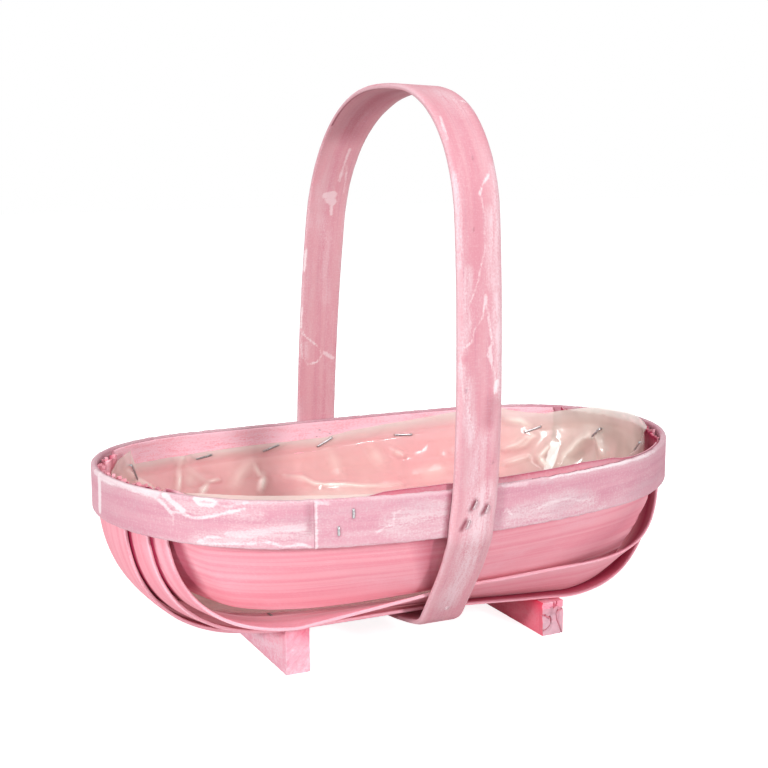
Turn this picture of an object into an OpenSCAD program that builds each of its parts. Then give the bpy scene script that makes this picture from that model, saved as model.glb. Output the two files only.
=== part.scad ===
// Wooden trug: a bent rim and a bent handle hold thin veneer boards, with a film liner inside.

/* [Rim] */
// Length of the rim outside
rim_length = 336; // [300:1:380]
// Width of the rim outside
rim_width = 207; // [190:1:220]
// Radius of the round ends outside
rim_end_radius = 96; // [88:1:100]
// Height of the rim strip
rim_height = 24; // [18:1:30]
// Thickness of the rim strip
rim_thickness = 3.4; // [2.8:0.1:4.5]
// Height of the rim's lower edge above the ground, at the middle
rim_level = 79; // [74:1:86]
// How far the rim rises at both ends
rim_sheer = 5; // [0:0.5:8]
// Length over which the rim's two ends lap
rim_lap = 120; // [60:1:160]
// Distance of the lap's outer end from the middle, to the left
rim_lap_start = 86; // [40:1:100]
// Rounding of the rim's edges
rim_edge = 1.2; // [0.4:0.1:1.6]

/* [Handle] */
// Width of the handle strip
handle_width = 25; // [18:1:32]
// Thickness of the handle strip
handle_thickness = 3; // [2:0.1:3.5]
// Height of the handle's top above the ground
handle_height = 305.5; // [270:0.5:340]
// Height of the handle's underside above the ground
handle_clearance = 13; // [10:0.5:15]
// How far the handle's top leans to the front
handle_lean = 17; // [0:1:24]
// Slope of the handle's flanks below the rim
flank_slope = 54; // [51:1:58]
// Slope of the handle's underside where the bends begin
dish_slope = 13; // [10:1:15]
// Radius of the bends at the bottom
bend_radius = 16; // [12:1:22]
// Radius of the bend under the rim
kink_radius = 14; // [10:1:20]
// Height above the rim's lower edge from which the legs stand upright
kink_rise = 3; // [1:0.5:5]
// Turn of the legs above the rim
leg_turn = 9; // [7:0.5:11]
// Radius of the front shoulder
front_shoulder = 78; // [72:1:84]
// Radius of the back shoulder
back_shoulder = 92; // [76:1:98]
// Turn of the shoulders
shoulder_turn = 74; // [70:1:76]
// Distance of the handle from the rim's middle, to the left
handle_offset = 2; // [0:0.5:6]
// Length over which the handle's two ends lap under the bottom
handle_lap = 80; // [40:1:100]
// Width of the bevel along the handle's outer edges
handle_bevel = 2.4; // [1:0.1:4]
// Depth of that bevel
handle_bevel_depth = 0.9; // [0.3:0.1:1.2]

/* [Bottom boards] */
// Thickness of every board
board_thickness = 1.8; // [1.2:0.1:2.2]
// Width of the centre board
centre_width = 56; // [46:1:60]
// Width of the two boards beside it
inner_width = 34; // [30:1:38]
// Width of the two outermost bottom boards
outer_width = 30; // [27:1:33]
// How far one board laps over the next at the middle
board_overlap = 7; // [4:0.5:9]
// Tilt of the boards beside the centre board
inner_tilt = 10; // [8:0.5:12]
// Tilt of the outermost bottom boards
outer_tilt = 24; // [22:1:26]
// How much flatter the front inner board lies at its right end, in degrees
inner_twist = 11; // [0:1:12]
// How much flatter the front outermost board lies at its left end, in degrees
outer_ease = 9.5; // [0:0.5:10]
// How much steeper the front outermost board stands in its middle, in degrees
outer_stand = 5; // [3:0.5:7]
// How much steeper the front outermost board stands at its right end, in degrees
outer_twist = 20; // [0:1:21]
// Length of the flat middle of the bottom boards
board_flat = 172; // [166:1:190]
// Pull of the bend where the flat ends
bend_pull = 46; // [36:1:50]
// Pull of the bend below the rim
rise_pull = 60; // [48:1:64]
// Extra room of each further layer in the bends
bend_room = 0.7; // [0.6:0.1:1.2]
// Outward bulge of the boards below the rim
rise_bulge = 6; // [2:0.5:7]
// Depth of the board ends below the rim's top edge
end_drop = 4; // [2:0.5:8]
// Distance of the inner boards' middle from the centre line, along the rim
inner_end = 27; // [22:1:30]
// Distance of the outermost boards' middle from the centre line, along the rim
outer_end = 41; // [36:1:45]

/* [Side boards] */
// Distance of the side boards' lower edge from the centre line
side_low_y = 67; // [65:0.5:69]
// Height of the side boards' lower edge above the ground
side_low_z = 40.5; // [39.5:0.5:46]
// Rise of the lower edge at the ends
side_low_rise = 13; // [8:1:18]
// Length of the lower edge
side_low_length = 262; // [230:1:266]
// Inward run of the lower edge at the ends
side_low_run = 13; // [10:1:18]
// Angle round the rim's end at which the side boards stop
side_end_turn = 38; // [36:1:50]
// Length of the front side board's left part, as a share of the back one's
front_side_left = 1.03; // [1:0.01:1.03]
// Length of the front side board's right part, as a share of the back one's
front_side_right = 0.82; // [0.7:0.02:1]
// Droop of the front side board's lower edge at its left end
front_side_droop = 5; // [0:0.5:6]
// Rise of the front side board's top edge, right of the middle
front_side_rise = 4.5; // [0:0.5:5]
// Outward bow of the side boards
side_bow = 3; // [0:0.5:4]
// Depth of the side boards' top edge below the rim's top edge
side_drop = 1; // [0:0.5:5]

/* [Feet] */
// Distance between the feet, centre to centre
foot_spacing = 151; // [140:1:155]
// Width of a foot
foot_width = 14; // [10:1:16]
// Length of a foot, front to back
foot_length = 108; // [90:1:110]
// Distance of the pair of feet from the rim's middle, to the left
foot_shift = 2; // [0:0.5:6]
// How far the left foot sits back and the right foot sits forward
foot_offset = 4; // [0:0.5:6]

/* [Liner] */
// Thickness of the film's solid
film_thickness = 0.5; // [0.3:0.1:0.8]
// Depth of the film's edge below the rim's top edge
film_drop = 6; // [4:0.5:9]
// Height over which the film's upper edge stands against the boards
film_stand = 4; // [2:0.5:6]

/* [Fasteners] */
// Crown of a wide staple
wide_crown = 11.4; // [8:0.1:14]
// Crown of a small staple
small_crown = 4.6; // [3:0.1:7]
// Width of the staple wire
wire_width = 1.2; // [0.8:0.1:1.6]
// Thickness of the staple wire
wire_thickness = 0.6; // [0.4:0.1:0.8]
// Height of the liner staples, as a share of the film's rise
liner_staple_level = 0.95; // [0.9:0.01:0.97]
// Diameter of a nail's head
nail_head = 3.2; // [2:0.1:4]

/* [Fit] */
// Room between pieces that lie on each other
clearance = 0.2; // [0.1:0.05:0.3]
// Room between the liner staples and the film
staple_room = 0.25; // [0.25:0.05:0.4]
// Thickness of a lapped strip at its feathered end
feather = 1; // [0.6:0.1:1.4]

/* [Hidden] */

rim_colour = [0.86, 0.67, 0.76];
handle_colour = [0.87, 0.60, 0.69];
board_colour = [0.93, 0.60, 0.66];
foot_colour = [0.94, 0.63, 0.72];
film_colour = [0.93, 0.82, 0.76];
steel_colour = [0.66, 0.66, 0.68];

// Plan of the rim: two flat side arcs and two round end arcs that meet smoothly
half_length = rim_length / 2;
half_width = rim_width / 2;
end_centre = half_length - rim_end_radius;
side_centre = (pow(end_centre, 2) - pow(half_width - rim_end_radius, 2)) / (2 * (half_width - rim_end_radius));
side_radius = half_width + side_centre;
end_turn = atan2(side_centre, end_centre);
side_arc = side_radius * (90 - end_turn) * PI / 180;
end_arc = rim_end_radius * end_turn * PI / 180;
perimeter = 4 * (side_arc + end_arc);
rim_top = rim_level + rim_height;

// Direction of the rim's outward normal at a distance along it, from the front middle to the right
function rim_turn(s) =
    s < side_arc ? -90 + s / side_radius * 180 / PI :
    s < side_arc + 2 * end_arc ? -end_turn + (s - side_arc) / rim_end_radius * 180 / PI :
    s < 3 * side_arc + 2 * end_arc ? end_turn + (s - side_arc - 2 * end_arc) / side_radius * 180 / PI :
    s < 3 * side_arc + 4 * end_arc ?
        180 - end_turn + (s - 3 * side_arc - 2 * end_arc) / rim_end_radius * 180 / PI :
    s < perimeter ? 180 + end_turn + (s - 3 * side_arc - 4 * end_arc) / side_radius * 180 / PI :
    360 + rim_turn(s - perimeter);

function wrap(turn) = turn >= 270 ? wrap(turn - 360) : turn < -90 ? wrap(turn + 360) : turn;

// Point of the rim's plan, a distance inside its outer face
function plan_in(turn, inside) =
    let (on_right = abs(turn) <= end_turn, on_left = abs(turn - 180) <= end_turn)
    let (centre = on_right ? [end_centre, 0] : on_left ? [-end_centre, 0] :
        turn > 0 && turn < 180 ? [0, -side_centre] : [0, side_centre])
    let (radius = on_right || on_left ? rim_end_radius : side_radius)
    centre + (radius - inside) * [cos(turn), sin(turn)];
function plan(turn, inside) = plan_in(wrap(turn), inside);
function sheer(x) = rim_sheer * pow(x / half_length, 2);

// Solid through a row of rings of the same number of points, closed by ladder caps
module loft(rings) {
    n = len(rings[0]);
    last = len(rings) - 1;
    sides = [for (i = [0 : last - 1], j = [0 : n - 1])
        let (a = i * n + j, b = i * n + (j + 1) % n)
        each [[a, b, b + n], [a, b + n, a + n]]];
    first_cap = [for (j = [0 : n / 2 - 2]) each [[j, n - 1 - j, n - 2 - j], [j, n - 2 - j, j + 1]]];
    last_cap = [for (f = first_cap) [f[0] + last * n, f[2] + last * n, f[1] + last * n]];
    polyhedron([for (r = rings) each r], concat(sides, first_cap, last_cap), convexity = 8);
}

// Ring across a strip: a station is its point on the outer face, the way outward and the way across
edge_share = 0.4;
function strip_ring(station, outer, inner, width, bevel, bevel_depth, edge) =
    let (p = station[0], out = station[1], across = station[2], h = width / 2)
    let (limit = edge_share * (inner - outer), d = min(bevel_depth, limit), e = min(edge, limit))
    [for (q = [[-h + e, inner], [h - e, inner], [h, inner - e], [h, outer + d],
        [h - bevel, outer], [bevel - h, outer], [-h, outer + d], [-h, inner - e]])
        p + q[0] * across - q[1] * out];

// Strip bent to a hoop: its ends lap on each other, both cut to a feather
module lapped_hoop(lap, body, thickness, width, bevel, bevel_depth, edge) {
    last = len(lap) - 1;
    thick_end = thickness - feather - clearance;
    outer_ply = [for (i = [0 : last])
        strip_ring(lap[i], 0, feather + (thick_end - feather) * i / last, width, bevel, bevel_depth, edge)];
    full = [for (s = body) strip_ring(s, 0, thickness, width, bevel, bevel_depth, edge)];
    inner_ply = [for (i = [0 : last])
        strip_ring(lap[i], feather + clearance + (thick_end - feather) * i / last, thickness,
            width, bevel, bevel_depth, edge)];
    loft(concat(outer_ply, full, inner_ply));
}

// Rim stations
function rim_station(s) =
    let (turn = rim_turn(s), p = plan(turn, 0))
    [[p.x, p.y, rim_level + rim_height / 2 + sheer(p.x)], [cos(turn), sin(turn), 0], [0, 0, -1]];
lap_origin = perimeter - rim_lap_start;
lap_steps = 12;
rim_steps = 96;
step_gap = 0.3;

module rim_hoop() color(rim_colour) {
    lap = [for (i = [0 : lap_steps]) rim_station(lap_origin + rim_lap * i / lap_steps)];
    body = [for (i = [0 : rim_steps])
        rim_station(lap_origin + rim_lap + step_gap + (perimeter - rim_lap - 2 * step_gap) * i / rim_steps)];
    lapped_hoop(lap, body, rim_thickness, rim_height, rim_edge, rim_edge, rim_edge / 2);
}

// Half profile of the handle's outer face, from the bottom's middle to the top's middle
handle_out = half_width + clearance + handle_thickness;
dish_steps = 4;
bend_steps = 8;
kink_steps = 5;
leg_steps = 6;
shoulder_steps = 14;
crown_steps = 3;
kink_top = rim_level + kink_rise;
kink_y = kink_radius * (1 - sin(flank_slope));
kink_z = kink_radius * cos(flank_slope);
bend_y = bend_radius * (sin(flank_slope) - sin(dish_slope));
bend_z = bend_radius * (cos(dish_slope) - cos(flank_slope));
flank_length = (kink_top - kink_z - bend_z - (handle_out - kink_y - bend_y) * tan(dish_slope / 2)
    - handle_clearance) / (sin(flank_slope) - cos(flank_slope) * tan(dish_slope / 2));
dish_y = handle_out - kink_y - bend_y - flank_length * cos(flank_slope);
dish_radius = dish_y / sin(dish_slope);
arch_rise = handle_height - rim_top;
shoulder_end = leg_turn + shoulder_turn;

// Points [y, z, slope] along an arc that starts at p with slope a and ends with slope b
function arc(p, radius, a, b, steps) = [for (i = [1 : steps])
    let (t = a + (b - a) * i / steps)
    [p[0] + radius * (sin(t) - sin(a)), p[1] + radius * (cos(a) - cos(t)), t]];
function final(list) = list[len(list) - 1];

lap_slope = handle_lap / 2 / dish_radius * 180 / PI;
dish_mid = [0, handle_clearance];
to_dish = arc(dish_mid, dish_radius, 0, lap_slope, 1);
dish = arc(final(to_dish), dish_radius, lap_slope, dish_slope, dish_steps);
bend = arc(final(dish), bend_radius, dish_slope, flank_slope, bend_steps);
flank_end = [final(bend)[0] + flank_length * cos(flank_slope),
    final(bend)[1] + flank_length * sin(flank_slope), flank_slope];
kink = arc(flank_end, kink_radius, flank_slope, 90, kink_steps);
leg_foot = [handle_out, rim_top, 90];
lower_half = concat(to_dish, dish, bend, [flank_end], kink, [leg_foot]);

// Arch of one side: its leg and crown radii follow from the shoulder and from where the arch starts and ends
arch_det = (1 - cos(leg_turn)) * (1 - sin(shoulder_end)) - cos(shoulder_end) * sin(leg_turn);
function arch(radius) =
    let (y = handle_out - radius * (cos(leg_turn) - cos(shoulder_end)))
    let (z = arch_rise - radius * (sin(shoulder_end) - sin(leg_turn)))
    let (leg_radius = (y * (1 - sin(shoulder_end)) - z * cos(shoulder_end)) / arch_det)
    let (crown_radius = (z * (1 - cos(leg_turn)) - y * sin(leg_turn)) / arch_det)
    let (leg = arc(leg_foot, leg_radius, 90, 90 + leg_turn, leg_steps))
    let (shoulder = arc(final(leg), radius, 90 + leg_turn, 90 + shoulder_end, shoulder_steps))
    concat(leg, shoulder, arc(final(shoulder), crown_radius, 90 + shoulder_end, 180, crown_steps));
front_profile = concat(lower_half, arch(front_shoulder));
back_profile = concat(lower_half, arch(back_shoulder));

function lean(z) = handle_lean * max(0, z - rim_top) / arch_rise;
// Station of the handle: side is -1 at the front and 1 at the back
function handle_station(p, side) =
    [[-handle_offset, side * p[0] - lean(p[1]), p[1]], [0, side * sin(p[2]), -cos(p[2])], [1, 0, 0]];
handle_body = concat([for (p = front_profile) handle_station(p, -1)],
    [for (i = [len(back_profile) - 2 : -1 : 0]) handle_station(back_profile[i], 1)]);
lap_reach = lap_slope - step_gap / dish_radius * 180 / PI;
handle_lap_row = [for (i = [0 : lap_steps])
    let (slope = lap_reach * (1 - 2 * i / lap_steps))
    handle_station([dish_radius * sin(slope), handle_clearance + dish_radius * (1 - cos(slope)), slope], 1)];

// The frame's origin is on the ground below the middle of the whole part's box
front_reach = min([for (s = handle_body) s[0].y]);
staple_stand = clearance + wire_thickness;
back_reach = handle_out + staple_stand;
origin_y = -(front_reach + back_reach) / 2;
module placed() translate([0, origin_y, 0]) children();

module handle_hoop() color(handle_colour)
    lapped_hoop(handle_lap_row, handle_body, handle_thickness, handle_width,
        handle_bevel, handle_bevel_depth, handle_bevel_depth / 2);

// Bottom boards: each line along a board runs straight in the middle and bends up to the rim at both ends
handle_inside = handle_clearance + handle_thickness;
centre_z = handle_inside + dish_radius - sqrt(pow(dish_radius, 2) - pow(centre_width / 2, 2)) + clearance;
layer = board_thickness + clearance;
inner_low = [centre_width / 2 - board_overlap, centre_z + layer];
inner_dir = [cos(inner_tilt), sin(inner_tilt)];
outer_start = inner_width - board_overlap;
inner_up = [-sin(inner_tilt), cos(inner_tilt)];
outer_low = inner_low + outer_start * inner_dir + layer * inner_up;
outer_dir = [cos(outer_tilt), sin(outer_tilt)];

// Lie of a board: drop of its lower edge at the right end, and added tilt at its left end, middle and right end
plain_lie = [0, 0, 0, 0];
inner_lie = [0, 0, 0, -inner_twist];
// The front outermost board's lower edge settles on the twisted board below it
outer_settle = outer_start * (sin(inner_tilt) - sin(inner_tilt - inner_twist));
outer_lie = [outer_settle, -outer_ease, outer_stand, outer_twist];

function bezier(a, b, c, d, t) =
    pow(1 - t, 3) * a + 3 * pow(1 - t, 2) * t * b + 3 * (1 - t) * t * t * c + pow(t, 3) * d;

// A board is [lower edge, way across, width, middle along the rim, layer]
centre_board = [[-centre_width / 2, centre_z], [1, 0], centre_width, 0, 0];
inner_board = [inner_low, inner_dir, inner_width, inner_end, 1];
outer_board = [outer_low, outer_dir, outer_width, outer_end, 2];

// Share of a quarter circle's radius that its curve handles take
arc_pull = 0.55;

function turned(way, tilt) = [way.x * cos(tilt) - way.y * sin(tilt), way.x * sin(tilt) + way.y * cos(tilt)];
// Share of the way from the middle to the flat part's end, from -1 at the left to 1 at the right
function flat_share(x) = max(-1, min(1, 2 * x / board_flat));
// Point of a board's outer face: u runs from end to end, v across, both from -1 to 1
function board_point(board, lie, u, v) =
    let (end = sign(u), flat = board_flat / 2, bent = 2 * abs(u) - 1)
    let (share = flat_share(2 * u * flat))
    let (way = turned(board[1], lookup(share, [[-1, lie[1]], [0, lie[2]], [1, lie[3]]])))
    let (mid = board[0] - [0, lie[0] * max(0, share)] + (1 + v) / 2 * board[2] * way)
    let (inside = rim_thickness + clearance + board[4] * layer)
    let (turn = (board[3] + v * board[2] / 2) / rim_end_radius * 180 / PI)
    let (tip = plan(turn, inside), tip_z = rim_top + sheer(tip.x) - end_drop)
    bent <= 0 ? [2 * u * flat, mid[0], mid[1]] :
    let (shorten = board[4] * layer * arc_pull, room = board[4] * bend_room * 4 * bent * (1 - bent))
    let (p = bezier([flat, mid[0], mid[1]], [flat + bend_pull - shorten, mid[0], mid[1]],
        [tip.x + rise_bulge, tip.y, tip_z - rise_pull + shorten], [tip.x, tip.y, tip_z], bent))
    [end * (p.x - room), p.y, p.z + room];

function unit(v) = v / norm(v);
nudge = 0.01;
function board_normal(board, lie, u, v) =
    let (du = board_point(board, lie, min(1, u + nudge), v) - board_point(board, lie, max(-1, u - nudge), v))
    let (dv = board_point(board, lie, u, v + nudge) - board_point(board, lie, u, v - nudge))
    unit(cross(du, dv));

board_steps = 12;
board_lanes = 3;
along = [for (i = [board_steps : -1 : -board_steps]) i / board_steps];
across = [for (j = [-board_lanes : board_lanes]) j / board_lanes];

module bottom_board(board, lie) {
    rings = [for (u = along)
        let (outside = [for (v = across) board_point(board, lie, u, v)])
        let (inside = [for (j = [len(across) - 1 : -1 : 0])
            board_point(board, lie, u, across[j]) + board_thickness * board_normal(board, lie, u, across[j])])
        concat(outside, inside)];
    loft(rings);
}

module to_front() mirror([0, 1, 0]) children();

module centre_bottom_board() color(board_colour) bottom_board(centre_board, plain_lie);
module front_inner_bottom_board() color(board_colour) to_front() bottom_board(inner_board, inner_lie);
module front_outer_bottom_board() color(board_colour) to_front() bottom_board(outer_board, outer_lie);
module back_inner_bottom_board() color(board_colour) bottom_board(inner_board, plain_lie);
module back_outer_bottom_board() color(board_colour) bottom_board(outer_board, plain_lie);

// Side boards: ruled from the rim's inner face down to the lower edge, bowed outward between
// A side board's lie is the droop of its lower edge at the left end and the rise of its top lane, which
// follows the crest's shares along the board
side_tuck = 2;
side_steps = 14;
side_lanes = 7;
side_crest = [[-0.15, 0], [-0.12, 0.55], [-0.05, 0.78], [0.04, 0.8], [0.17, 1], [0.4, 0.58], [0.82, 0.2]];
function side_top(u) =
    let (turn = 90 - u * (90 - side_end_turn), p = plan(turn, rim_thickness + clearance))
    [p.x, p.y, rim_top + sheer(p.x) - side_drop];
function side_low(u, lie) =
    [u * side_low_length / 2, side_low_y - side_low_run * u * u,
        side_low_z + side_low_rise * pow(u, 4) - lie[0] * max(0, -u)];
function side_at(u, v, lie) =
    let (a = side_top(u), b = side_low(u, lie), knee = rim_level + sheer(a.x))
    let (c = [a.x, a.y, knee], lift = lie[1] * lookup(u, side_crest) * max(0, 1 - v * side_lanes))
    bezier(a, [a.x, a.y, knee - side_tuck], [0, side_bow, 0] + (c + b) / 2, b, v) + [0, 0, lift];
function side_normal(u, v, lie) =
    let (du = side_at(u + nudge, v, lie) - side_at(u - nudge, v, lie))
    let (dv = side_at(u, min(1, v + nudge), lie) - side_at(u, max(0, v - nudge), lie))
    unit(cross(dv, du));
function side_along(left, right) = [for (i = [-side_steps : side_steps]) i / side_steps * (i > 0 ? right : left)];
side_across = [for (j = [0 : side_lanes]) j / side_lanes];

module side_board(left, right, lie) {
    rings = [for (u = side_along(left, right))
        concat([for (v = side_across) side_at(u, v, lie)],
            [for (j = [len(side_across) - 1 : -1 : 0])
                side_at(u, side_across[j], lie) + board_thickness * side_normal(u, side_across[j], lie)])];
    loft(rings);
}

module front_side_board() color(board_colour)
    to_front() side_board(front_side_left, front_side_right, [front_side_droop, front_side_rise]);
module back_side_board() color(board_colour) side_board(1, 1, [0, 0]);

// Feet: blocks whose tops follow the boards that rest on them
function inner_under(y, tilt) = inner_low[1] + (y - inner_low[0]) * tan(tilt) - clearance;
module foot(x, back) {
    shelf = centre_width / 2;
    front_y = back - foot_length / 2;
    back_y = back + foot_length / 2;
    front_tilt = inner_tilt - inner_twist * max(0, flat_share(x + foot_width / 2));
    translate([x, 0, 0])
        rotate([90, 0, 90])
            linear_extrude(foot_width, center = true)
                polygon([[front_y, 0], [back_y, 0], [back_y, inner_under(back_y, inner_tilt)],
                    [shelf, centre_z - clearance], [-shelf, centre_z - clearance],
                    [front_y, inner_under(-front_y, front_tilt)]]);
}
left_foot_x = -foot_spacing / 2 - foot_shift;
right_foot_x = foot_spacing / 2 - foot_shift;
module left_foot() color(foot_colour) foot(left_foot_x, foot_offset);
module right_foot() color(foot_colour) foot(right_foot_x, -foot_offset);

// Liner: an open film bowl that lies inside every board
film_floor = centre_z + 2 * layer + clearance;
film_line = [[0, film_floor], [1, 0], 0, 0, 3];
film_wall = half_width - rim_thickness - 2 * layer - clearance;
film_outer_top = outer_low + outer_width * outer_dir;
film_shape = 2.15;
film_points = 60;
film_levels = 14;
film_widths = [
    [film_floor, inner_low[0]],
    [outer_low[1] + 2 * layer, outer_low[0] - layer],
    [film_outer_top[1] + 2 * layer, side_low_y - 2 * layer],
    [rim_level, film_wall - 3 * layer],
    [rim_top - film_drop - film_stand, film_wall]
];
function film_at(level, turn, inset) =
    let (p = board_point(film_line, plain_lie, 0.5 + level / 2, 0))
    let (wide = lookup(p.z, film_widths), power = 2 / film_shape)
    let (x = (p.x - inset) * sign(cos(turn)) * pow(abs(cos(turn)), power))
    let (y = (wide - inset) * sign(sin(turn)) * pow(abs(sin(turn)), power))
    [x, y, p.z + inset * (1 - level) + level * (sheer(x) - sheer(p.x) + end_drop - film_drop)];
function film_ring(level, inset) =
    [for (i = [0 : film_points - 1]) film_at(level, -360 * (i + 0.5) / film_points, inset)];

module liner() color(film_colour, 0.6)
    loft(concat([for (k = [0 : film_levels]) film_ring(k / film_levels, 0)],
        [for (k = [film_levels : -1 : 0]) film_ring(k / film_levels, film_thickness)]));

// Staple whose crown lies along one way on a face that looks another way; its legs stop at the face
module staple_on(point, face, way, crown) {
    side = cross(face, way);
    multmatrix([[way.x, side.x, face.x, point.x], [way.y, side.y, face.y, point.y],
        [way.z, side.z, face.z, point.z]]) {
        translate([-crown / 2, -wire_width / 2, clearance])
            cube([crown, wire_width, wire_thickness]);
        for (end = [-1, 1])
            translate([end * (crown - wire_thickness) / 2 - wire_thickness / 2, -wire_width / 2, 0])
                cube([wire_thickness, wire_width, staple_stand]);
    }
}

// Liner staples: each lies flat on one facet of the film's inner face, at uneven steps as stapled by hand
stapled_facets = [2, 6, 12, 15, 17, 20, 24, 27, 30, 33, 36, 39, 42, 45, 48, 51, 55, 58];
module liner_staples() color(steel_colour)
    for (i = stapled_facets) {
        from = 360 * (i - 0.5) / film_points;
        a = film_at(liner_staple_level, from, film_thickness);
        b = film_at(liner_staple_level, from + 360 / film_points, film_thickness);
        below = film_at(liner_staple_level - nudge, from, film_thickness);
        way = unit(b - a);
        face = unit(cross(a - below, way));
        staple_on((a + b) / 2 + staple_room * face, face, way, wide_crown);
    }

// Rim lap staples: two upright ones; a spot is the way past the lap's outer end and the share of the rim's height
lap_staple_spots = [[12, 0.34], [19.5, 0.69]];
module rim_lap_staples() color(steel_colour)
    for (spot = lap_staple_spots) {
        at = rim_station(lap_origin + spot[0]);
        staple_on(at[0] + [0, 0, (spot[1] - 0.5) * rim_height], at[1], [0, 0, 1], small_crown);
    }

// Handle staples: three slanted ones where each leg crosses the rim, at spots across the leg and up the rim
staple_slant = 62;
handle_staple_spots = [[-1.5, 0.67], [5.3, 0.55], [-5.5, 0.27]];
module handle_staples() {
    for (spot = handle_staple_spots)
        staple_on([spot[0] - handle_offset, -handle_out, rim_level + spot[1] * rim_height], [0, -1, 0],
            [cos(staple_slant), 0, sin(staple_slant)], small_crown);
}
module front_handle_staples() color(steel_colour) handle_staples();
module back_handle_staples() color(steel_colour) mirror([0, 1, 0]) handle_staples();

// Handle nails: one low on each flank
nail_rise = 7;
nail_height = 0.7;
module handle_nails() color(steel_colour)
    for (side = [-1, 1])
        translate([-handle_offset, side * (final(bend)[0] + nail_rise * cos(flank_slope)),
            final(bend)[1] + nail_rise * sin(flank_slope)])
            rotate([side * (flank_slope - 180), 0, 0])
                cylinder(h = nail_height, d = nail_head, $fn = 24);

// Board end staples: through the board ends into the rim; a spot is the board, its lie, the share across and the side
board_staple_u = along[1];
board_staple_v = -0.3;
module board_staples(front_lie) {
    for (spot = [[centre_board, plain_lie, 0, 1], [outer_board, plain_lie, board_staple_v, 1],
        [outer_board, front_lie, board_staple_v, -1]]) {
        face = board_normal(spot[0], spot[1], board_staple_u, spot[2]);
        at = board_point(spot[0], spot[1], board_staple_u, spot[2]) + (board_thickness + 2 * clearance) * face;
        way = unit(cross([0, 0, 1], face));
        mirror([0, spot[3] > 0 ? 0 : 1, 0])
            staple_on(at, face, way, small_crown);
    }
}
// The left end is made as a right end and mirrored
outer_left_lie = [0, outer_twist, outer_stand, -outer_ease];
module right_board_staples() color(steel_colour) board_staples(outer_lie);
module left_board_staples() color(steel_colour) mirror([1, 0, 0]) board_staples(outer_left_lie);

// Foot staples: through the centre board into each foot
foot_staple_y = 12;
module foot_staples(x) {
    for (side = [-1, 1])
        staple_on([x, side * foot_staple_y, centre_z + board_thickness], [0, 0, 1], [0, 1, 0], wide_crown);
}
module left_foot_staples() color(steel_colour) foot_staples(left_foot_x);
module right_foot_staples() color(steel_colour) foot_staples(right_foot_x);

placed() rim_hoop();
placed() handle_hoop();
placed() front_side_board();
placed() back_side_board();
placed() centre_bottom_board();
placed() front_inner_bottom_board();
placed() front_outer_bottom_board();
placed() back_inner_bottom_board();
placed() back_outer_bottom_board();
placed() left_foot();
placed() right_foot();
placed() liner();
placed() liner_staples();
placed() rim_lap_staples();
placed() front_handle_staples();
placed() back_handle_staples();
placed() handle_nails();
placed() left_board_staples();
placed() right_board_staples();
placed() left_foot_staples();
placed() right_foot_staples();
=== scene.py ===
import math

import bmesh
import bpy
import numpy as np
from mathutils import Matrix, Vector, noise


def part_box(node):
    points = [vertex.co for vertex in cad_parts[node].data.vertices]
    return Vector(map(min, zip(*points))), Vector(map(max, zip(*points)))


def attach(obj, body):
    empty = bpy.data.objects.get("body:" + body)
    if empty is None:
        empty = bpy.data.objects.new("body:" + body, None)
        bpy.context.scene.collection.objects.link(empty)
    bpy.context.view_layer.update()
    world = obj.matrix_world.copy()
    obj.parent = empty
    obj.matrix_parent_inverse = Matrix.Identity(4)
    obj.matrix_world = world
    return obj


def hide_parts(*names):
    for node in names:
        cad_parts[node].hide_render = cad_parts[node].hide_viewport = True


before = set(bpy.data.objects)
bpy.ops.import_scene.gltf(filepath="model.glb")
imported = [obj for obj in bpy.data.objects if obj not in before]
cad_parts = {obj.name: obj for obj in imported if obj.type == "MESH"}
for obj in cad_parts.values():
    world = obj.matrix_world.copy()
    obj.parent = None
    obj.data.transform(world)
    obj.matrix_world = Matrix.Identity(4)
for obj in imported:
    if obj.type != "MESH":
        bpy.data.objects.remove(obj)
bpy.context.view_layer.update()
mm = 0.001
clearance = 0.2 * mm
nudge = 0.01  # step for the slope of a surface
bare = -3.0  # wash where no stroke is near
sharpAngle = 42


# Shader maths: a wire is a socket that takes part in plain arithmetic
class Wire:
    def __init__(self, finish, socket):
        self.finish = finish
        self.socket = socket

    def __add__(self, other):
        return self.finish.maths("ADD", self, other)

    def __sub__(self, other):
        return self.finish.maths("SUBTRACT", self, other)

    def __rsub__(self, other):
        return self.finish.maths("SUBTRACT", other, self)

    def __mul__(self, other):
        return self.finish.maths("MULTIPLY", self, other)

    __radd__ = __add__
    __rmul__ = __mul__


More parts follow.
